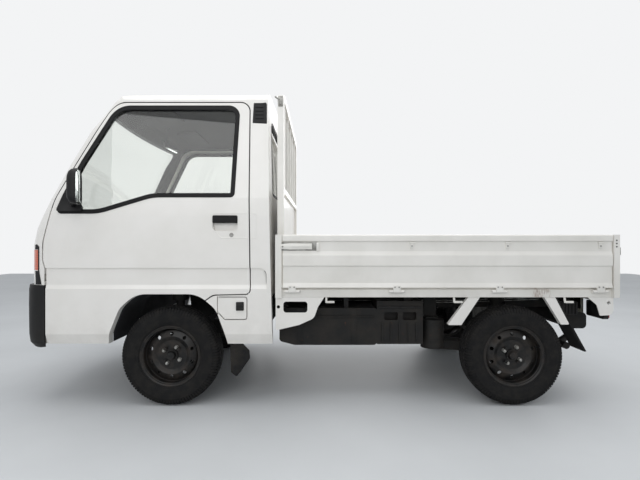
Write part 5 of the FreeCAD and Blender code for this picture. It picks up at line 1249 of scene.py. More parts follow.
def pressed_line(name, surface, line, sign, body):
    """A fine ridge along a drawn line on the truck's side, hung on a body."""
    points = []
    for a, b in zip(line, line[1:]):
        steps = max(int(math.dist(a, b) / 0.02), 1)
        points += [(a[0] + (b[0] - a[0]) * i / steps, a[1] + (b[1] - a[1]) * i / steps) for i in range(steps)]
    points.append(line[-1])
    bm = bmesh.new()
    add_bar(bm, [on_side(surface, sign, x, z, -RIDGE_R * 0.45)[0] for x, z in points], RIDGE_R, 6, RIDGE_R)
    hang(name, bm, body_enamel, body)


for side, sign in SIDES:
    door = surfaces_of("door_" + side)
    pressed_line("pressed_line_" + side, door, PULL_LINE, sign, "door_" + side)
    pressed_line("pillar_line_" + side, surfaces_of("cab_back"), PILLAR_LINE, sign, "root")
    bm = bmesh.new()
    spot, normal = on_side(door, sign, *LOCK_AT, -0.0004)
    add_turned(bm, LOCK_PROFILE, spot, normal, 28)
    add_slab(bm, rectangle(0.0016, 0.0080), facing(spot + normal * 0.0016, (-sign, 0, 0)), 0.0008, 0.0)
    hang("door_lock_" + side, bm, zinc_steel, "door_" + side)
# the latch and the lever on it: width, height, middle's height, corner radius, lift, thickness
for name, width, height, z, radius, lift, thick in (
        ("filler_latch", 0.042, 0.046, 0.551, 0.004, 0.0002, 0.0040),
        ("filler_latch_lever", 0.030, 0.012, 0.562, 0.003, 0.0040, 0.0022)):
    bm = bmesh.new()
    outline = rounded(rectangle(width, height, centre=(-0.408, z)), radius)
    fitted_sheet(bm, surfaces_of("fuel_flap"), side_drawing(-1.0), outline, 0.03, lift, thick)
    hang(name, bm, bumper_plastic, "fuel_flap")
print("locks and latch laid")

# %% [markdown]
# ## Fittings on the drop sides
#
# Each side is held up at the front by a long lever latch that lies in the recess under the rail.
# The lever is a pressed steel paddle on a pivot bolt, and it draws a hook behind the corner post. It
# swings down with the side, so it hangs on the side's own body. Along the same recess sit small
# buffers that keep the dropped side off the sill.

# %% Side latches and buffers
BED_X0 = -0.218
RECESS_Y = HALF_WIDTH - 0.0085
LATCH_Z = 0.8745
BUFFERS_X = (0.520, 1.037, 1.539)
PADDLE = [(-0.190, -0.014), (-0.140, -0.018), (-0.020, -0.016), (-0.020, 0.015), (-0.140, 0.016),
          (-0.190, 0.010)]
RIDGE = [(-0.130, -0.006), (-0.030, -0.005), (-0.030, 0.006), (-0.130, 0.007)]
KEEPER = [(0.004, -0.024), (0.018, -0.024), (0.018, 0.020), (0.004, 0.020)]
LATCH_PLATE = [(-0.206, -0.024), (0.015, -0.024), (0.015, 0.024), (-0.206, 0.024)]


def add_in_recess(bm, sign, line, radius, lift, thickness, ease):
    """A slab in the recess at the latch, from a line of x and z round the latch's own height."""
    add_slab(bm, rounded(drawn(sign, line), radius), side_drawing(sign, 0, RECESS_Y + lift, LATCH_Z),
             thickness, ease)


def hex_bolt(bm, foot, way, across=0.012, height=0.007):
    """A bolt head: a hexagon with its corners turned off."""
    r = across / 2
    add_turned(bm, [(0.0, 0.0), (r, 0.0), (r, height * 0.8), (r * 0.85, height), (0.0, height)], foot, way, 6)


for side, sign in SIDES:
    out = Vector((0, sign, 0))
    bm = bmesh.new()
    add_in_recess(bm, sign, PADDLE, 0.007, 0.0012, 0.0108, 0.003)
    add_in_recess(bm, sign, RIDGE, 0.004, 0.0112, 0.0018, 0.0008)
    add_in_recess(bm, sign, KEEPER, 0.003, 0.0, 0.010, 0.001)
    for x in BUFFERS_X:
        block = side_drawing(sign, x, RECESS_Y - 0.0004, 0.880)
        lip = side_drawing(sign, x - 0.004 * sign, RECESS_Y - 0.0004, 0.893)
        add_plate(bm, (0.018, 0.036), 0.003, block, 0.0068, 0.001)
        add_plate(bm, (0.030, 0.008), 0.002, lip, 0.008, 0.001)
    hang("latch_and_buffers_" + side, bm, bed_enamel, "gate_" + side)
    bm = bmesh.new()
    add_in_recess(bm, sign, LATCH_PLATE, 0.008, -0.0004, 0.0014, 0.0005)
    for x, lift in ((-0.178, 0.012), (-0.196, 0.001)):
        hex_bolt(bm, (x, sign * (RECESS_Y + lift), LATCH_Z - 0.002), out, 0.010, 0.004)
    for x in BUFFERS_X:
        hex_bolt(bm, (x, sign * (RECESS_Y + 0.0062), 0.876), out, 0.009, 0.003)
    hang("latch_bolts_" + side, bm, zinc_steel, "gate_" + side)
print("latches at height", LATCH_Z, "m, buffers at", BUFFERS_X)


# %% [markdown]
# ## Hinge bolts and pins
#
# Every hinge leaf is screwed to its side or tail with two hexagon bolts, and each pin has a
# flattened head at one end. The bolts move with the side, and the pin heads stay on the bed.

# %% Hinge bolts
TAIL_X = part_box("gate_tail")[1].x
HINGES_X = (BED_X0 + 0.091, BED_X0 + 0.657, TAIL_X - 0.6525, TAIL_X - 0.1075)
HINGES_Y = (-0.480, 0.0, 0.480)
LEAF_Z = 0.6535
LEAF_BOLTS = (-0.011, 0.011)
PIN_HEAD = [(0.0, 0.0), (0.005, 0.0), (0.005, 0.002), (0.003, 0.003), (0.0, 0.003)]
for side, sign in SIDES:
    bm = bmesh.new()
    for x in HINGES_X:
        for step in LEAF_BOLTS:
            hex_bolt(bm, (x + step, sign * (HALF_WIDTH - 0.0004), LEAF_Z), (0, sign, 0), 0.008, 0.004)
    hang("hinge_bolts_" + side, bm, zinc_steel, "gate_" + side)
    bm = bmesh.new()
    for x in HINGES_X:
        add_turned(bm, PIN_HEAD, (x + 0.041, sign * (HALF_WIDTH - 0.008), 0.630), (1, 0, 0), 12)
    hang("hinge_pin_heads_" + side, bm, zinc_steel)
bm = bmesh.new()
for y in HINGES_Y:
    for step in LEAF_BOLTS:
        hex_bolt(bm, (TAIL_X - 0.0004, y + step, LEAF_Z), (1, 0, 0), 0.008, 0.004)
hang("hinge_bolts_tail", bm, zinc_steel, "gate_tail")
print("hinges:", 2 * len(HINGES_X) + len(HINGES_Y))


# %% [markdown]
# ## Tail latches, posts and floor strakes
#
# The tail is held by a toggle at each corner: a bent rod through an eye on the post, closed by a
# handle on the tail. The posts have a row of small holes for a canopy's pegs, drawn as thin black
# discs of painted shade that stand for the dark inside of each hole. The load floor is rolled with
# long shallow strakes, which stiffen it and let water run out at the back.

# %% Toggles and pegs
TOGGLE_Z = 0.872
EYE_Z = (0.868, 0.826)
# a peg hole is painted shade: the profile of a thin black disc laid flat on the post
PEG_HOLE_SHADE_DISC = [(0.0, 0.0), (0.0042, 0.0), (0.0042, 0.0006), (0.0, 0.0006)]
for side, sign in SIDES:
    post_y = sign * (HALF_WIDTH - 0.020)
    bm = bmesh.new()
    add_plate(bm, (0.030, 0.070), 0.004, facing((TAIL_X - 0.0064, post_y, 0.845)), 0.0022, 0.0006)
    add_bar(bm, [(TAIL_X - 0.006, post_y, EYE_Z[0]), (TAIL_X + 0.008, post_y, EYE_Z[0]),
                 (TAIL_X + 0.008, post_y, EYE_Z[1]), (TAIL_X - 0.006, post_y, EYE_Z[1])], 0.0035, 8, 0.006)
    hang("tail_toggle_eye_" + side, bm, zinc_steel)
    inner = sign * (HALF_WIDTH - 0.125)
    bm = bmesh.new()
    add_plate(bm, (0.060, 0.040), 0.005, facing((TAIL_X - 0.0087, inner, TOGGLE_Z)), 0.0022, 0.0006)
    add_bar(bm, [(TAIL_X - 0.006, inner, TOGGLE_Z), (TAIL_X + 0.004, inner, TOGGLE_Z),
                 (TAIL_X + 0.004, sign * (HALF_WIDTH - 0.062), TOGGLE_Z)], 0.0042, 8, 0.006)
    add_bar(bm, [(TAIL_X + 0.001, inner, TOGGLE_Z), (TAIL_X + 0.001, inner, 0.800)], 0.0050, 8)
    hang("tail_toggle_" + side, bm, zinc_steel, "gate_tail")
    # painted shade: flat black rubber discs on the post stand for the shade inside the canopy peg holes
    bm = bmesh.new()
    for step in range(3):
        add_turned(bm, PEG_HOLE_SHADE_DISC, (TAIL_X - 0.024, sign * (HALF_WIDTH - 0.0002), 0.906 - 0.017 * step),
                   (0, sign, 0), 16)
    hang("painted_peg_hole_shade_" + side, bm, strip_rubber)
print("toggles at height", TOGGLE_Z, "m")

# %% Strakes
STRAKE = [(-0.013, 0.0), (-0.009, 0.0022), (0.009, 0.0022), (0.013, 0.0), (0.013, -0.0004),
          (-0.013, -0.0004)]
STRAKE_ENDS_X = (-0.150, 1.600)
STRAKES, STRAKE_PITCH, FIRST_STRAKE_Y = 14, 0.09, -0.585
LOAD_FLOOR_Z = 0.6516
bm = bmesh.new()
add_tube(bm, [[bm.verts.new((x, FIRST_STRAKE_Y + y, LOAD_FLOOR_Z + z)) for y, z in STRAKE]
              for x in STRAKE_ENDS_X])
run_tree("floor_strakes", bm, ROW, bed_enamel, "root", 20, Copies=STRAKES, Step=(0.0, STRAKE_PITCH, 0.0),
         Weld=0.00001)
print("strakes along the floor:", STRAKES)


# %% [markdown]
# ## Ribs inside the sides and guard-frame hooks
#
# A drop side is two skins; on the load's side it shows upright pressed ribs. The guard frame
# carries a bolt-on hook high on each leg for tying long loads.

# %% Side ribs and guard hooks
GUARD_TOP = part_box("guard_frame")[1].z
RIB_SIZE, RIB_PITCH, RIB_Z = (0.050, 0.190), 0.270, 0.775
SIDE_THICK = 0.0290
HOOK_X = -0.196
for side, sign in SIDES:
    bm = bmesh.new()
    inside = facing((0.0, sign * (HALF_WIDTH - SIDE_THICK + 0.0004), RIB_Z), (sign, 0, 0))
    add_plate(bm, RIB_SIZE, 0.010, inside, 0.0040, 0.0028, (sign * -0.060, 0.0))
    run_tree("side_ribs_" + side, bm, ROW, bed_enamel, "gate_" + side, 30, Copies=7,
             Step=(RIB_PITCH, 0.0, 0.0), Weld=0.00001)
    bm = bmesh.new()
    leg_y = sign * 0.6150
    base = facing((HOOK_X, leg_y + sign * 0.0065, GUARD_TOP - 0.055), (-sign, 0, 0))
    add_plate(bm, (0.026, 0.060), 0.004, base, 0.003, 0.0008)
    hook = [(-0.200, 0.008, -0.045), (-0.214, 0.013, -0.041), (-0.226, 0.013, -0.031)]
    add_bar(bm, [(x, leg_y + sign * y, GUARD_TOP + z) for x, y, z in hook], 0.0048, 10, 0.006)
    hex_bolt(bm, (HOOK_X, leg_y + sign * 0.0090, GUARD_TOP - 0.069), (0, sign, 0), 0.012, 0.006)
    hang("guard_hook_" + side, bm, zinc_steel)
bm = bmesh.new()
add_plate(bm, (0.040, RIB_SIZE[1]), 0.010, facing((TAIL_X - SIDE_THICK - 0.0004, 0.0, RIB_Z)), -0.0040, 0.0,
          (-0.540, 0.0))
run_tree("tail_ribs", bm, ROW, bed_enamel, "gate_tail", 30, Copies=5, Step=(0.0, RIB_PITCH, 0.0),
         Weld=0.00001)
print("ribs inside the sides laid")


# %% [markdown]
# ## Rear lamps
#
# Each rear lamp is one moulded housing with three lenses in a row: red for tail and brake outside,
# amber in the middle and clear for reversing inside. The colour shows only from behind, because the
# housing's sides are black. Two screws hold each row of lenses.

# %% Rear lamps
low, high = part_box("rear_lamps")
lamp_h = high.z - low.z
LAMP_Y = 0.570
# each lens from the outside in: its colour, how far outwards of the lamp's middle, its width
LENSES = (("red", 0.042, 0.058), ("amber", -0.008, 0.038), ("clear", -0.047, 0.036))
SCREW_HEAD = [(0.0, 0.0), (0.003, 0.0), (0.0022, 0.0012), (0.0, 0.0014)]
housings = bmesh.new()
lens_parts = {"red": bmesh.new(), "amber": bmesh.new(), "clear": bmesh.new()}
screws = bmesh.new()
for sign in (-1.0, 1.0):
    centre = Vector((0.0, sign * LAMP_Y, (low.z + high.z) / 2))
    back = facing((low.x, centre.y, centre.z))
    add_plate(housings, (0.150, lamp_h), 0.010, back, high.x - low.x - 0.008, 0.002)
    for colour, offset, width in LENSES:
        face = facing((high.x - 0.0085, centre.y + sign * offset, centre.z))
        add_plate(lens_parts[colour], (width, lamp_h - 0.012), 0.005, face, 0.0080, 0.0025)
    for step in (-0.069, 0.019):
        add_turned(screws, SCREW_HEAD, (high.x - 0.0004, centre.y + sign * step, centre.z - 0.030),
                   (1, 0, 0), 10)
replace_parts(hang("rear_lamp_housings", housings, bumper_plastic), "rear_lamps")
for colour, finish in (("red", red_lens), ("amber", amber_lens), ("clear", clear_lens)):
    hang("rear_lamp_lenses_" + colour, lens_parts[colour], finish)
hang("rear_lamp_screws", screws, zinc_steel)
print("rear lamps hung")


# %% [markdown]
# ## Rear plate and its lamp
#
# The rear plate sits on a bent steel bracket below the sill, beside the left lamp, with its own
# small lamp over it. The bracket's flat front is the surface that the plate is laid on.

# %% Rear plate
PLATE_Y, PLATE_Z = -0.240, 0.530
BRACKET_FACE_X = TAIL_X - 0.0200
bm = bmesh.new()
place = facing((BRACKET_FACE_X - 0.0022, PLATE_Y, PLATE_Z))
add_plate(bm, (0.290, 0.090), 0.010, place, 0.0022, 0.0006)
for y in (-0.110, 0.110):
    add_plate(bm, (0.028, 0.080), 0.004, place, 0.0022, 0.0006, (y, 0.070))
hang("rear_plate_bracket", bm, bumper_plastic)
corners = [(BRACKET_FACE_X, PLATE_Y + y, PLATE_Z + z) for y, z in rectangle(0.400, 0.220)]
bracket_front = BVHTree.FromPolygons(corners, [(0, 1, 2, 3)])
number_plate("rear_number_plate", bracket_front, (TAIL_X + 0.1, PLATE_Y, PLATE_Z), (0, 1, 0), (-1, 0, 0))
bm = bmesh.new()
lamp_place = facing((BRACKET_FACE_X - 0.002, PLATE_Y, PLATE_Z + 0.097))
add_plate(bm, (0.070, 0.024), 0.006, lamp_place, 0.0160, 0.004)
hang("plate_lamp", bm, bumper_plastic)
bm = bmesh.new()
underneath = facing((BRACKET_FACE_X + 0.009, PLATE_Y, PLATE_Z + 0.0865), (0, 1, 0), (-1, 0, 0))
add_plate(bm, (0.052, 0.010), 0.003, underneath, -0.004, 0.0)
hang("plate_lamp_lens", bm, clear_lens)
print("rear plate at", (PLATE_Y, PLATE_Z))

# %% [markdown]
# ## Tank, case and canister
#
# The fuel tank is two pressed pans welded along a flange and hung in two strap bands. The battery
# case beside it is a ribbed moulding under a screwed lid, and the canister is held by two clamps.
# The bands and flanges are thin strips laid against the solids, a little proud. A known fault is
# left: the bands' lower parts lie at +Y, beside the tank and not under it, and so hang free.

# %% Tank flange, bands and lid
tank_low, tank_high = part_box("fuel_tank")
SIDE_Y = tank_low.y
TANK_MIDDLE_X = 0.070
BANDS_X, BAND_WIDTH = (-0.090, 0.215), 0.034
FIRST_RIB_X, CASE_RIBS, CASE_RIB_PITCH = 0.374, 5, 0.048
LID_X, LID_Z = 0.4745, 0.530
CANISTER = Vector((0.676, -0.520, 0.0))
CANISTER_R = 0.066
on_tank_side = facing((0, SIDE_Y + 0.0005, 0), (1, 0, 0))
on_tank_floor = facing((0, 0, tank_low.z + 0.0005), (1, 0, 0), (0, -1, 0))
bm = bmesh.new()
seam_z = (tank_low.z + tank_high.z) / 2 + 0.020
add_plate(bm, (0.520, 0.009), 0.003, on_tank_side, 0.0085, 0.0012, (TANK_MIDDLE_X, seam_z))
for x in BANDS_X:
    add_slab(bm, rectangle(BAND_WIDTH, 0.206, centre=(x, 0.422)), on_tank_side, 0.0028, 0.0008)
    add_slab(bm, rectangle(BAND_WIDTH, 0.252, centre=(x, -0.4725)), on_tank_floor, -0.0028, 0.0)
drain_plug = [(0.0, 0.0), (0.015, 0.0), (0.015, 0.006), (0.009, 0.012), (0.0, 0.012)]
add_turned(bm, drain_plug, (TANK_MIDDLE_X, -0.470, tank_low.z + 0.0004), (0, 0, -1), 6)
hang("tank_flange_and_bands", bm, chassis_paint)
bm = bmesh.new()
for k in range(CASE_RIBS):
    middle = (FIRST_RIB_X + CASE_RIB_PITCH * k, 0.390)
    add_plate(bm, (0.007, 0.105), 0.002, on_tank_side, 0.0065, 0.001, middle)
add_plate(bm, (0.238, 0.010), 0.003, on_tank_side, 0.0075, 0.001, (LID_X, LID_Z))
hang("case_ribs_and_lid", bm, bumper_plastic)
bm = bmesh.new()
for z in (0.325, 0.418):
    clamp = [(CANISTER_R + r, z + rise) for r, rise in
             ((0.0004, 0.0), (0.0022, 0.0), (0.0022, 0.014), (0.0004, 0.014))]
    add_turned(bm, clamp, CANISTER, (0, 0, 1), 40, closed=True)
for x in (0.385, LID_X, 0.565):
    hex_bolt(bm, (x, SIDE_Y - 0.0062, LID_Z), (0, -1, 0), 0.009, 0.004)
hang("clamps_and_lid_bolts", bm, chassis_paint)
print("tank side at y", round(SIDE_Y, 3))


# %% [markdown]
# ## Springs
#
# The wheels are carried on coil springs round their struts. A coil is a round wire along a helix, so
# it is one bar whose points climb evenly while they go round.

# %% Coils
def add_coil(bm, foot, axis, radius, rise, turns, wire):
    """A coil of round wire round an axis, rising from its foot."""
    axis = Vector(axis).normalized()
    side = axis.orthogonal().normalized()
    other = axis.cross(side)
    count = int(turns * 14)
    points = []
    for i in range(count + 1):
        turn = 2 * math.pi * turns * i / count
        round_axis = side * math.cos(turn) + other * math.sin(turn)
        points.append(Vector(foot) + axis * (rise * i / count) + round_axis * radius)
    rings = []
    for i, point in enumerate(points):
        ahead = (points[min(i + 1, count)] - points[max(i - 1, 0)]).normalized()
        first = (point - Vector(foot) - axis * (rise * i / count)).normalized()
        second = ahead.cross(first).normalized()
        corners = [math.pi * k / 3 for k in range(6)]
        rings.append([bm.verts.new(point + (first * math.cos(turn) + second * math.sin(turn)) * wire)
                      for turn in corners])
    add_tube(bm, rings)


COIL_X, COIL_Y, COIL_Z, COIL_RISE = 1.0875, 0.440, 0.346, 0.235
bm = bmesh.new()
for sign in (-1.0, 1.0):
    add_coil(bm, (COIL_X, sign * COIL_Y, COIL_Z), (0, 0, 1), 0.0455, COIL_RISE, 6.0, 0.0060)
hang("rear_coils", bm, chassis_paint, sharp_deg=60)
print("rear coils between", COIL_Z, "and", COIL_Z + COIL_RISE, "m")


# %% [markdown]
# ## Pipes, arch shields and a ribbed box
#
# Brake and fuel pipes run along the frame rails, dark shields close the front arches towards the
# engine side, and a ribbed black box sits behind the left rear wheel. These small things are what
# the eye meets between the bed and the wheels.

# %% Pipes and the ribbed box
PIPE_Y, PIPE_Z = 0.3335, 0.520
SHIELD_LINE = [(-0.780, 0.470), (-0.800, 0.632), (-0.540, 0.632), (-0.560, 0.470)]
SHIELD_Y = 0.3400
BOX_X, BOX_Y, BOX_Z = 1.420, -0.600, 0.525
BOX_RIBS, BOX_RIB_PITCH = 6, 0.019
bm = bmesh.new()
for sign in (-1.0, 1.0):
    y = sign * PIPE_Y
    for z in (PIPE_Z, PIPE_Z + 0.012):
        add_bar(bm, [(-0.150, y, z), (0.900, y, z), (1.400, y, z + 0.020)], 0.0034, 6)
hang("brake_pipes", bm, zinc_steel)
bm = bmesh.new()
for sign in (-1.0, 1.0):
    add_slab(bm, rounded(SHIELD_LINE, 0.015), facing((0, sign * SHIELD_Y + 0.001, 0), (1, 0, 0)), 0.002, 0.0)
hang("arch_inner_shields", bm, flap_rubber)
bm = bmesh.new()
body_place = facing((0, BOX_Y + 0.090, 0), (1, 0, 0))
rib_place = facing((0, BOX_Y + 0.006, 0), (1, 0, 0))
add_plate(bm, (0.120, 0.075), 0.010, body_place, 0.085, 0.003, (BOX_X, BOX_Z))
for k in range(BOX_RIBS):
    x = BOX_X - 0.048 + BOX_RIB_PITCH * k
    add_plate(bm, (0.006, 0.070), 0.002, rib_place, 0.006, 0.001, (x, BOX_Z))
hang("ribbed_box", bm, bumper_plastic)
print("pipes laid")


# %% [markdown]
# ## Engine bits
#
# The engine is a casting bolted up from several parts, with a plug lead for each cylinder. Its bolt
# heads show from below and the leads from behind.

# %% Engine fittings
engine_skin = surfaces_of("engine_block")
bm = bmesh.new()
bolt_count = 0
for y in (-0.16, -0.08, 0.0, 0.08, 0.16):
    for x in (1.230, 1.400):
        spot, normal = landed(engine_skin, (x, y, 0.10), (0, 0, 1), -0.0004)
        if spot is not None:
            hex_bolt(bm, spot, normal, 0.012, 0.007)
            bolt_count += 1
hang("engine_bolts", bm, zinc_steel)
bm = bmesh.new()
for y in (-0.10, 0.0, 0.10):
    spot, normal = landed(engine_skin, (1.70, y, 0.400), (-1, 0, 0), -0.001)
    if spot is not None:
        add_bar(bm, [spot, spot + Vector((0.020, 0, 0.010)), spot + Vector((0.024, 0.02, 0.060))], 0.0045, 8)
hang("plug_leads", bm, strip_rubber)
print("engine bolts:", bolt_count)

# %% [markdown]
# ## Linings
#
# The cab's bare steel is hidden by a dark board under the roof and plastic trims on the pillars. They
# follow the panels, so they are made from the panels' own inner faces: those that look towards the
# middle of the cab are copied, lifted a little and given a thickness.

# %% Roof and pillar linings
CAB_MIDDLE = Vector((-0.90, 0.0, 1.25))
headlining = vinyl("perforated_roof_board", "26272A", "2C2D30", 0.85)


def swell(bm, verts, amount):
    """Moves points outwards along their normals, all by the same amount."""
    bm.normal_update()
    for v, spot in [(v, v.co + v.normal * amount) for v in verts]:
        v.co = spot


def inner_lining(name, node, low_z, finish, lift=0.0015, thickness=0.0012):
    """Copies the faces of a panel that look into the cab and lays them as a board on it."""
    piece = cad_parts[node]
    bm = bmesh.new()
    bm.from_mesh(piece.data)
    bmesh.ops.transform(bm, matrix=piece.matrix_world, verts=bm.verts)
    bmesh.ops.remove_doubles(bm, verts=bm.verts, dist=2e-5)
    outer = [f for f in bm.faces
             if f.normal.dot((CAB_MIDDLE - f.calc_center_median()).normalized()) < 0.12
             or f.calc_center_median().z < low_z]
    bmesh.ops.delete(bm, geom=outer, context="FACES")
    swell(bm, bm.verts, lift)
    made = bmesh.ops.extrude_face_region(bm, geom=list(bm.faces))
    swell(bm, points_in(made), thickness)
    hang(name, bm, finish, sharp_deg=30)


inner_lining("roof_lining", "cab_roof", 1.2, headlining)
inner_lining("front_pillar_linings", "cab_nose", 1.075, lining)
inner_lining("rear_wall_lining", "cab_back", 0.70, lining)
print("linings copied from the roof, nose and back")


# %% [markdown]
# ## Door cards
#
# Each door has a flat moulded card with a grab handle, a latch lever and the window crank. They hang
# on the door's own body and swing with it.

# %% Door cards
CARD_LINE = [(-1.262, 0.700), (-1.262, 1.085), (-0.560, 1.140), (-0.470, 1.120), (-0.462, 0.560),
             (-1.000, 0.560)]
CRANK_BOSS = [(0.0, 0.0), (0.022, 0.0), (0.020, 0.010), (0.0, 0.012)]
CRANK_KNOB = [(0.0, 0.0), (0.010, 0.0), (0.012, 0.022), (0.009, 0.030), (0.0, 0.031)]
CRANK_BEND, CRANK_END = Vector((0.03, 0, -0.05)), Vector((0.05, 0, -0.085))
card_board = vinyl("grey_door_card", "55575A", "5E6063", 0.6)
for side, sign in SIDES:
    wall = surfaces_of("door_" + side)
    bm = bmesh.new()
    card = rounded(drawn(-sign, CARD_LINE), 0.03)
    fitted_sheet(bm, wall, facing((0.0, 0.0, 0.0), (sign, 0, 0)), card, 0.05, 0.0008, 0.004)
    hang("door_card_" + side, bm, card_board, "door_" + side)
    foot, normal = landed(wall, (-0.80, 0.0, 0.930), (0, sign, 0), 0.0048)
    bm = bmesh.new()
    handle = [foot + Vector((x, 0, 0)) + normal * out for x, out in
              ((-0.12, 0.0), (-0.11, 0.035), (0.11, 0.035), (0.12, 0.0))]
    add_bar(bm, handle, 0.010, 10, 0.02)
    hub = foot + Vector((-0.16, 0.0, -0.10))
    add_turned(bm, CRANK_BOSS, hub, normal, 24)
    add_bar(bm, [hub + normal * 0.008, hub + normal * 0.016 + CRANK_BEND, hub + normal * 0.020 + CRANK_END],
            0.006, 10)
    add_turned(bm, CRANK_KNOB, hub + normal * 0.018 + CRANK_END, normal, 16)
    latch = foot + Vector((-0.30, 0.0, 0.07))
    add_plate(bm, (0.075, 0.045), 0.012, facing(latch, (sign, 0, 0)), 0.006, 0.002)
    add_plate(bm, (0.045, 0.016), 0.006, facing(latch + normal * 0.006, (sign, 0, 0)), 0.006, 0.002)
    hang("door_fittings_" + side, bm, dash_plastic, "door_" + side)
print("door cards hung")


# %% [markdown]
# ## Seats
#
# A seat is foam on springs under a sewn cover. The foam pushes the cover out everywhere but at its
# seams, which is why a cushion is full in the middle and drawn in at its edges. A block of the right
# outline is meshed evenly, then cloth is blown up from inside by a little pressure, with no gravity.
# How far it may swell is capped, and where it rests on the seat box it stays flat. The sewn channels
# are pressed in afterwards, because they are finer than the mesh the cloth needs. One seat is blown,
# and its twin is the same shape moved across.

# %% Blow the cushions
SEAT_Y, SEAT_HALF = 0.320, 0.222
SWELL_CAP = 0.024
EVEN_SIZE = 0.009
PRESSURE, BLOW_FRAMES = 4.0, 20
SEAT_BOX_TOP = 0.6412


def blown(name, bm, floor_z):
    """Blows a closed block up like a stuffed cover and returns its mesh."""
    bmesh.ops.recalc_face_normals(bm, faces=bm.faces)
    mesh = bpy.data.meshes.new(name)
    bm.to_mesh(mesh)
    bm.free()
    block = bpy.data.objects.new(name, mesh)
    scene.collection.objects.link(block)
    even = block.modifiers.new("even", "REMESH")
    even.mode = "VOXEL"
    even.voxel_size = EVEN_SIZE
    graph = bpy.context.evaluated_depsgraph_get()
    block.data = bpy.data.meshes.new_from_object(block.evaluated_get(graph))
    block.modifiers.clear()
    start = [v.co.copy() for v in block.data.vertices]
    filling = block.modifiers.new("filling", "CLOTH")
    filling.settings.use_pressure = True
    filling.settings.uniform_pressure_force = PRESSURE
    filling.settings.quality = 5
    filling.settings.effector_weights.gravity = 0.0
    for frame_number in range(1, BLOW_FRAMES + 1):
        scene.frame_set(frame_number)
    graph = bpy.context.evaluated_depsgraph_get()
    swollen = block.evaluated_get(graph).to_mesh()
    ends = [v.co.copy() for v in swollen.vertices]
    block.modifiers.clear()
    scene.frame_set(1)
    for v, a, b in zip(block.data.vertices, start, ends):
        move = b - a
        if move.length > SWELL_CAP:
            move *= SWELL_CAP / move.length
        v.co = a + move
    for v in block.data.vertices:
        v.co.z = max(v.co.z, floor_z)
    finer = block.modifiers.new("finer", "SUBSURF")
    finer.levels = 1
    finer.render_levels = 1
    graph = bpy.context.evaluated_depsgraph_get()
    mesh = bpy.data.meshes.new_from_object(block.evaluated_get(graph))
    bpy.data.objects.remove(block)
    return mesh


def side_block(outline, ease):
    """A block with an outline seen from the side, across the seat."""
    bm = bmesh.new()
    place = facing((0.0, SEAT_HALF, 0.0), (1, 0, 0))
    add_slab(bm, rounded(outline, 0.03), place, 2 * SEAT_HALF, ease)
    return bm


BASE_LINE = [(-1.002, 0.652), (-1.010, 0.755), (-0.580, 0.726), (-0.566, 0.652)]
BACK_LINE = [(-0.520, 0.660), (-0.535, 0.765), (-0.428, 1.140), (-0.362, 1.140), (-0.415, 0.660)]
base_mesh = blown("seat_base_form", side_block(BASE_LINE, 0.026), SEAT_BOX_TOP)
back_mesh = blown("seat_back_form", side_block(BACK_LINE, 0.024), SEAT_BOX_TOP)
print("blown:", len(base_mesh.vertices), "and", len(back_mesh.vertices), "points")

# %% [markdown]
# ## Sewn channels and the second seat
#
# Two seams run along each cushion and three across it between them, and they pull the cover in by
# some millimetres over a finger's width.

# %% Sewn channels
SEAMS_ACROSS = (-0.140, 0.140)
BASE_SEAMS = (-0.895, -0.800, -0.705)
BACK_SEAMS = (0.860, 0.955, 1.050)


def pressed(distance, width, depth):
    """How far a seam pulls the cover in at a distance from it."""
    return depth * math.exp(-(distance / width) ** 2)


def finished_pads(name, mesh, seams, axis, top_way, node):
    """Presses the seams into a cushion, adds its twin, and hangs both in place of a frame piece."""
    bm = bmesh.new()
    bm.from_mesh(mesh)
    bm.normal_update()
    moves = {}
    for v in bm.verts:
        facing_up = max(0.0, v.normal.dot(top_way))
        pull = max(pressed(v.co.y - y, 0.006, 0.007) for y in SEAMS_ACROSS)
        if abs(v.co.y) < SEAMS_ACROSS[1]:
            pull = max(pull, max(pressed(v.co[axis] - s, 0.006, 0.0055) for s in seams))
        moves[v] = v.normal * pull * min(1.0, facing_up * 1.6)
    for v, move in moves.items():
        v.co -= move
    twin = bmesh.ops.duplicate(bm, geom=list(bm.verts) + list(bm.edges) + list(bm.faces))
    second = points_in(twin)
    second_set = set(second)
    first = [v for v in bm.verts if v not in second_set]
    bmesh.ops.translate(bm, vec=(0, -SEAT_Y, 0), verts=first)
    bmesh.ops.translate(bm, vec=(0, SEAT_Y, 0), verts=second)
    pads = hang(name, bm, seat_vinyl, sharp_deg=180, tidy=False)
    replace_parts(pads, node)


finished_pads("seat_base_pads", base_mesh, BASE_SEAMS, 0, Vector((0, 0, 1)), "seat_cushions")
finished_pads("seat_back_pads", back_mesh, BACK_SEAMS, 2, Vector((-1, 0, 0.2)).normalized(), "seat_backs")
bm = bmesh.new()
for sign in (-1.0, 1.0):
    y = sign * SEAT_Y
    for turn in (-1.0, 1.0):
        add_turned(bm, [(0.0, 0.0), (0.028, 0.0), (0.026, 0.010), (0.0, 0.012)],
                   (-0.500, y + turn * 0.243, 0.700), (0, turn, 0), 20)
    add_bar(bm, [(-0.50, y + 0.05, 0.6455), (-0.50, y - 0.05, 0.6455)], 0.004, 8)
hang("seat_recline_caps", bm, dash_plastic)
print("seats sewn, seams along and across:", len(SEAMS_ACROSS), len(BASE_SEAMS))


# %% [markdown]
# ## Belts
#
# Each belt runs from a loop on the door pillar down to its reel. Webbing is flat and narrow, so it is
# modelled directly as a strip along its line, which sags a little between its ends.

# %% Belts
webbing = vinyl("woven_belt_webbing", "1E1F20", "262728", 0.8)


def strap(bm, points, width, across, thickness=0.0012):
    """A flat strap through some points, as wide as width along across."""
    across = Vector(across).normalized() * width / 2
    rows = []
    for i, p in enumerate(points):
        ahead = points[min(i + 1, len(points) - 1)] - points[max(i - 1, 0)]
        up = across.cross(ahead).normalized() * thickness / 2
        rows.append([bm.verts.new(p + a + u) for a, u in
                     ((-across, -up), (across, -up), (across, up), (-across, up))])
    add_tube(bm, rows)


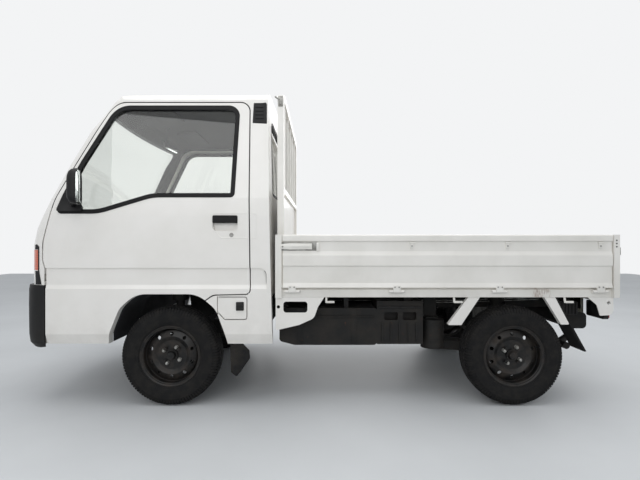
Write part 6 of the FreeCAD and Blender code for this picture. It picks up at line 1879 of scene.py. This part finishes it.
for side, sign in SIDES:
    top = Vector((-0.318, sign * 0.545, 1.420))
    bottom = Vector((-0.300, sign * 0.600, 0.760))
    bm = bmesh.new()
    line = [top.lerp(bottom, i / 12) + Vector((-0.012 * math.sin(math.pi * (i / 12)), 0.0, 0.0))
            for i in range(13)]
    strap(bm, line, 0.047, (0.9, sign * 0.25, 0.0))
    hang("belt_strap_" + side, bm, webbing)
    bm = bmesh.new()
    loop = facing(top + Vector((0, sign * 0.012, 0.012)), (sign, 0, 0))
    reel = facing(bottom + Vector((0.004, sign * 0.016, -0.040)), (sign, 0, 0))
    buckle_y = sign * 0.050
    buckle = facing((-0.540, buckle_y + 0.009, 0.785), (1, 0, 0.2), (-0.2, 0, 1))
    add_plate(bm, (0.064, 0.040), 0.012, loop, 0.008, 0.003)
    add_plate(bm, (0.070, 0.110), 0.012, reel, 0.040, 0.006)
    add_bar(bm, [(-0.500, buckle_y, 0.650), (-0.520, buckle_y, 0.700), (-0.535, buckle_y, 0.760)], 0.007, 10)
    add_plate(bm, (0.028, 0.058), 0.006, buckle, 0.018, 0.003)
    hang("belt_fittings_" + side, bm, dash_plastic)
print("belts hung")

# %% [markdown]
# ## Dashboard fittings
#
# The dashboard is a plain moulding with fittings set in it: the instrument hood before the driver,
# four air vents, the radio's blank face with its knobs, a small tray and a glove box lid. Everything
# flat is laid on the dashboard's own face from the seat's side.

# %% Dashboard fittings
dash_face = surfaces_of("dashboard")
facing_seat = facing((-1.0, 0.0, 0.0))
DRIVER_Y = 0.325
dial_black = moulded_plastic("dull_black_dial", "101011", "151516", 0.6, 2.0, 0.0, 0.0)
dial_white = enamel("white_dial_marks", "D9DAD6", "CFD0CC", 0.0, 0.0)[0]


def on_dash(bm, y, z, width, height, thickness, radius=0.006, lift=0.0004):
    """A rounded panel laid on the dashboard's rear face."""
    outline = rounded(rectangle(width, height, centre=(y, z)), radius)
    fitted_sheet(bm, dash_face, facing_seat, outline, 0.04, lift, thickness)


def dash_point(y, z, lift):
    """A point on the dashboard's rear face, lifted off it, and the face's normal there."""
    return landed(dash_face, (-1.0, y, z), (-1, 0, 0), lift)


VENTS_Y = (-0.600, -0.130, 0.130, 0.600)
VENT_BLADES = 4
KNOBS = ((-0.076, 0.009), (0.076, 0.009), (-0.030, 0.005), (0.0, 0.005), (0.030, 0.005))
bm = bmesh.new()
on_dash(bm, -0.360, 0.885, 0.330, 0.100, 0.0035, 0.012)
on_dash(bm, 0.0, 0.868, 0.190, 0.058, 0.004)
hang("glove_box_lid_and_tray", bm, dash_plastic)
bm = bmesh.new()
on_dash(bm, 0.0, 0.930, 0.184, 0.052, 0.0045)
for y in VENTS_Y:
    on_dash(bm, y, 0.935, 0.064 if abs(y) < 0.2 else 0.056, 0.048, 0.0040)
hang("radio_and_vent_frames", bm, dial_black)
bm = bmesh.new()
for y in VENTS_Y:
    foot = dash_point(y, 0.920, 0.0042)[0]
    for k in range(VENT_BLADES):
        add_plate(bm, (0.048, 0.0030), 0.001, facing(foot + Vector((0, 0, 0.010 * k))), 0.003, 0.0006)
for y, r in KNOBS:
    foot, normal = dash_point(y, 0.930, 0.0049)
    knob = [(0.0, 0.0), (r, 0.0), (r * 0.94, 0.010), (r * 0.8, 0.012), (0.0, 0.012)]
    add_turned(bm, knob, foot, normal, 20)
add_plate(bm, (0.040, 0.014), 0.004, facing(dash_point(-0.360, 0.922, 0.0038)[0]), 0.006, 0.0015)
add_plate(bm, (0.050, 0.010), 0.003, facing(dash_point(0.0, 0.868, 0.0044)[0]), 0.007, 0.0015)
hang("knobs_and_vent_blades", bm, dash_plastic)

# %% Instrument hood
DASH_TOP_Z = 1.043
DIALS = ((-0.060, 0.017), (0.060, 0.017), (0.0, 0.010))
DIAL_Z, DIAL_MARKS = 0.022, 11
bm = bmesh.new()
hood = [(-0.150, 0.0), (-0.138, 0.052), (0.138, 0.052), (0.150, 0.0)]
add_slab(bm, rounded(hood, [0.004, 0.022, 0.022, 0.004]), facing((-1.470, DRIVER_Y, DASH_TOP_Z - 0.004)),
         0.070, 0.004)
hang("instrument_hood", bm, dash_plastic)
bm = bmesh.new()
face_at = facing((-1.4004, DRIVER_Y, DASH_TOP_Z + 0.001))
pane_line = [(-0.134, 0.003), (-0.126, 0.041), (0.126, 0.041), (0.134, 0.003)]
add_slab(bm, rounded(pane_line, 0.006), face_at, 0.0016, 0.0004)
hang("instrument_face", bm, dial_black)
bm = bmesh.new()
for y, r in DIALS:
    for k in range(DIAL_MARKS):
        turn = math.radians(220 - 26 * k)
        mark = rectangle(0.0012, 0.0024, centre=(y + r * math.cos(turn), DIAL_Z + r * math.sin(turn)))
        add_slab(bm, mark, face_at @ Matrix.Translation((0, 0, 0.0016)), 0.0004, 0.0)
    needle = face_at @ Matrix.Translation((y, DIAL_Z, 0.0022))
    add_bar(bm, [needle @ Vector((0.0, 0.0, 0.0)), needle @ Vector((-r * 0.7, -r * 0.4, 0.0))], 0.0008, 6)
hang("dial_marks", bm, dial_white)
print("dashboard fitted")


# %% [markdown]
# ## Steering wheel pad, stalks, levers and pedals
#
# The wheel's hub wears a soft horn pad, which turns with it. Two stalks leave the column for lights
# and wipers. The gear lever and handbrake stand between the seats, and three pedals hang below the
# column.

# %% Controls
HUB = Vector((-1.178, DRIVER_Y, 1.000))
TILT = math.radians(24.0)
COLUMN_WAY = Vector((math.sin(TILT), 0.0, math.cos(TILT)))
ACROSS = Vector((0, 1, 0))
STALK_R, STALK_TIP_R = 0.0055, 0.0085
bm = bmesh.new()
pad = [(-0.085, -0.048), (-0.060, 0.050), (0.060, 0.050), (0.085, -0.048)]
pad_place = facing(HUB + COLUMN_WAY * 0.0135, ACROSS, COLUMN_WAY.cross(ACROSS))
add_slab(bm, rounded(pad, 0.022, 6), pad_place, 0.016, 0.006)
hang("horn_pad", bm, dash_plastic, "steering_wheel")
bm = bmesh.new()
for turn in (-1.0, 1.0):
    root_point = HUB - COLUMN_WAY * 0.075 + ACROSS * (turn * 0.020)
    add_bar(bm, [root_point, root_point + ACROSS * (turn * 0.060),
                 root_point + ACROSS * (turn * 0.130) + COLUMN_WAY * 0.012], STALK_R, 10)
    add_bar(bm, [root_point + ACROSS * (turn * 0.110) + COLUMN_WAY * 0.0085,
                 root_point + ACROSS * (turn * 0.140) + COLUMN_WAY * 0.0138], STALK_TIP_R, 12)
hang("column_stalks", bm, dash_plastic)
BOOT = [(0.0, 0.0), (0.052, 0.0), (0.044, 0.020), (0.030, 0.034), (0.018, 0.060), (0.0, 0.062)]
KNOB = [(0.0, 0.0), (0.012, 0.002), (0.019, 0.018), (0.021, 0.032), (0.015, 0.045), (0.0, 0.050)]
LEVER_R, BRAKE_R, GRIP_R, PEDAL_ARM_R = 0.006, 0.010, 0.0145, 0.006
BETWEEN_SEATS_Z = 0.6395
bm = bmesh.new()
add_turned(bm, BOOT, (-1.085, 0.0, BETWEEN_SEATS_Z), (-0.1, 0, 1), 28)
add_bar(bm, [(-1.090, 0.0, 0.690), (-1.100, 0.0, 0.800), (-1.085, 0.0, 0.868)], LEVER_R, 10, 0.05)
add_turned(bm, KNOB, (-1.087, 0.0, 0.858), (0.15, 0, 1), 20)
hang("gear_lever_and_boot", bm, dash_plastic)
bm = bmesh.new()
foot_line = [(-0.840, BETWEEN_SEATS_Z), (-0.840, 0.675), (-0.640, 0.675), (-0.620, BETWEEN_SEATS_Z)]
add_slab(bm, rounded(foot_line, 0.010), facing((0.0, 0.026, 0.0), (1, 0, 0)), 0.052, 0.006)
add_bar(bm, [(-0.655, 0.0, 0.668), (-0.800, 0.0, 0.705), (-0.855, 0.0, 0.722)], BRAKE_R, 12, 0.03)
add_bar(bm, [(-0.790, 0.0, 0.7025), (-0.905, 0.0, 0.7385)], GRIP_R, 14)
hang("handbrake", bm, dash_plastic)
bm = bmesh.new()
for y, width in ((DRIVER_Y - 0.105, 0.055), (DRIVER_Y - 0.010, 0.062), (DRIVER_Y + 0.095, 0.040)):
    lean = facing((-1.405, y, 0.560), (0, 1, 0), (-0.45, 0, 0.9))
    add_plate(bm, (width, 0.066), 0.010, lean, 0.010, 0.003)
    add_bar(bm, [(-1.408, y, 0.575), (-1.440, y, 0.700), (-1.420, y, 0.810)], PEDAL_ARM_R, 8, 0.05)
hang("pedals", bm, strip_rubber)
bm = bmesh.new()
mat = [(-1.500, -0.560), (-1.500, 0.560), (-1.150, 0.560), (-1.150, -0.560)]
from_above = facing((0, 0, 1.2), (1, 0, 0), (0, 1, 0))
fitted_sheet(bm, surfaces_of("cab_floor"), from_above, rounded(mat, 0.04), 0.05, 0.0004, 0.005)
hang("floor_mat", bm, flap_rubber)
print("controls fitted")


# %% [markdown]
# ## Rear-view mirror and sun visors
#
# The mirror hangs from the roof's front edge on a short stalk. The visors are padded boards folded
# up under the roof.

# %% Mirror and visors
roof_face = surfaces_of("cab_roof", "cab_nose")
perch, normal = landed(roof_face, (-1.060, 0.0, 1.30), (0, 0, 1), 0.002)
bm = bmesh.new()
head = perch + Vector((0.020, 0.0, -0.135))
add_turned(bm, [(0.0, 0.0), (0.020, 0.0), (0.016, 0.008), (0.0, 0.009)], perch, normal, 18)
add_bar(bm, [perch, perch + Vector((0.004, 0.0, -0.070)), head], 0.0045, 10, 0.02)
across = (0.12, 1, 0)
add_plate(bm, (0.200, 0.056), 0.020, facing(head + Vector((-0.010, 0, 0)), across), 0.014, 0.004)
hang("cabin_mirror_shell", bm, dash_plastic)
bm = bmesh.new()
add_plate(bm, (0.190, 0.046), 0.017, facing(head + Vector((0.0052, 0.0006, 0)), across), 0.0015, 0.0004)
hang("cabin_mirror_glass", bm, silvered)
VISOR_Y, VISOR_PINS_Y = 0.30, (-0.150, 0.150)
bm = bmesh.new()
visor_ends = []
for sign in (-1.0, 1.0):
    spots = [landed(roof_face, (x, sign * VISOR_Y, 1.30), (0, 0, 1), 0.012)[0] for x in (-1.03, -0.90)]
    way = (spots[1] - spots[0]).normalized()
    middle = spots[0].lerp(spots[1], 0.5) + Vector((0, 0, -0.010))
    add_plate(bm, (0.150, 0.370), 0.030, facing(middle, way, (0, 1, 0)), 0.014, 0.005)
    visor_ends.append(middle)
hang("sun_visors", bm, headlining)
bm = bmesh.new()
for middle in visor_ends:
    for y in VISOR_PINS_Y:
        add_bar(bm, [middle + Vector((-0.066, y, 0.004)), middle + Vector((-0.070, y, 0.026))], 0.005, 8)
hang("visor_pins", bm, dash_plastic)
print("mirror at height", round(head.z, 3))

# %% [markdown]
# ## Floor, lamps and camera
#
# A pale flat floor under an even white air keeps the eye on the truck and holds its shadow. Large
# soft lamps, one overhead and one at each side, put long even reflections on the paint. The
# camera stands to the left of the truck at chest height, level with the bed's rail, with a wide
# lens, so the near wheels look larger than the far ones.

# %% Floor
def floor_finish():
    material, tree, shader = new_finish("pale_studio_floor", Roughness=0.5)
    place = place_of(tree)
    patches = share(tree, noise(tree, place, 900, 4.0), 0.3, 0.7)
    tree.links.new(blended(tree, patches, "C9CBCC", "D2D4D5"), shader.inputs["Base Color"])
    return material


def stage_plane(name, corners, finish):
    mesh = bpy.data.meshes.new(name)
    mesh.from_pydata(corners, [], [tuple(range(len(corners)))])
    piece = bpy.data.objects.new(name, mesh)
    scene.collection.objects.link(piece)
    mesh.materials.append(finish)
    return piece


FLOOR_HALF = 9.0
stage_plane("studio_floor", [(-FLOOR_HALF, -FLOOR_HALF, 0), (FLOOR_HALF, -FLOOR_HALF, 0),
                             (FLOOR_HALF, FLOOR_HALF, 0), (-FLOOR_HALF, FLOOR_HALF, 0)], floor_finish())
print("floor laid, metres across:", 2 * FLOOR_HALF)


# %% Light
def soft_lamp(name, place, aim, across, along, power):
    lamp = bpy.data.lights.new(name, "AREA")
    lamp.shape = "RECTANGLE"
    lamp.size = across
    lamp.size_y = along
    lamp.energy = power
    piece = bpy.data.objects.new(name, lamp)
    scene.collection.objects.link(piece)
    piece.location = place
    piece.rotation_euler = (Vector(aim) - Vector(place)).to_track_quat("-Z", "Y").to_euler()
    return piece


# each lamp: its place, the point that it looks at, its size both ways and its power in watts
soft_lamp("lamp_overhead", (0.3, -0.6, 4.2), (0, 0, 0.6), 6.0, 4.0, 120)
soft_lamp("lamp_near_side", (-0.8, -5.0, 2.8), (0, 0, 0.8), 5.0, 2.5, 70)
soft_lamp("lamp_far_side", (0.8, 5.0, 2.8), (0, 0, 0.8), 5.0, 2.5, 60)

world = bpy.data.worlds.new("studio_air")
scene.world = world
world.use_nodes = True
air = world.node_tree
air.nodes.clear()
paths = add(air, "ShaderNodeLightPath").outputs
seen = paths["Is Camera Ray"]
for ray in ("Is Glossy Ray", "Is Transmission Ray"):
    seen = add(air, "ShaderNodeMath", {0: seen, 1: paths[ray]}, operation="MAXIMUM").outputs[0]
white = add(air, "ShaderNodeBackground", {"Color": linear("F3F4F5"), "Strength": 1.0})
fill = add(air, "ShaderNodeBackground", {"Color": linear("DDE3EA"), "Strength": 0.55})
both = add(air, "ShaderNodeMixShader", {0: seen, 1: fill.outputs[0], 2: white.outputs[0]})
add(air, "ShaderNodeOutputWorld", {"Surface": both.outputs[0]})
scene.view_settings.view_transform = "Standard"


# %% Camera
LENS_MM = 22.95
EYE = Vector((0.0235, -2.897, 0.892))
camera = bpy.data.objects.new("camera", bpy.data.cameras.new("camera"))
scene.collection.objects.link(camera)
camera.data.lens = LENS_MM
camera.data.sensor_width = 36.0
camera.data.shift_y = 0.0047
camera.location = EYE
camera.rotation_euler = Euler((math.radians(90.0), 0.0, 0.0))
scene.camera = camera
print("camera:", [round(v, 3) for v in EYE], "lens", LENS_MM, "mm")
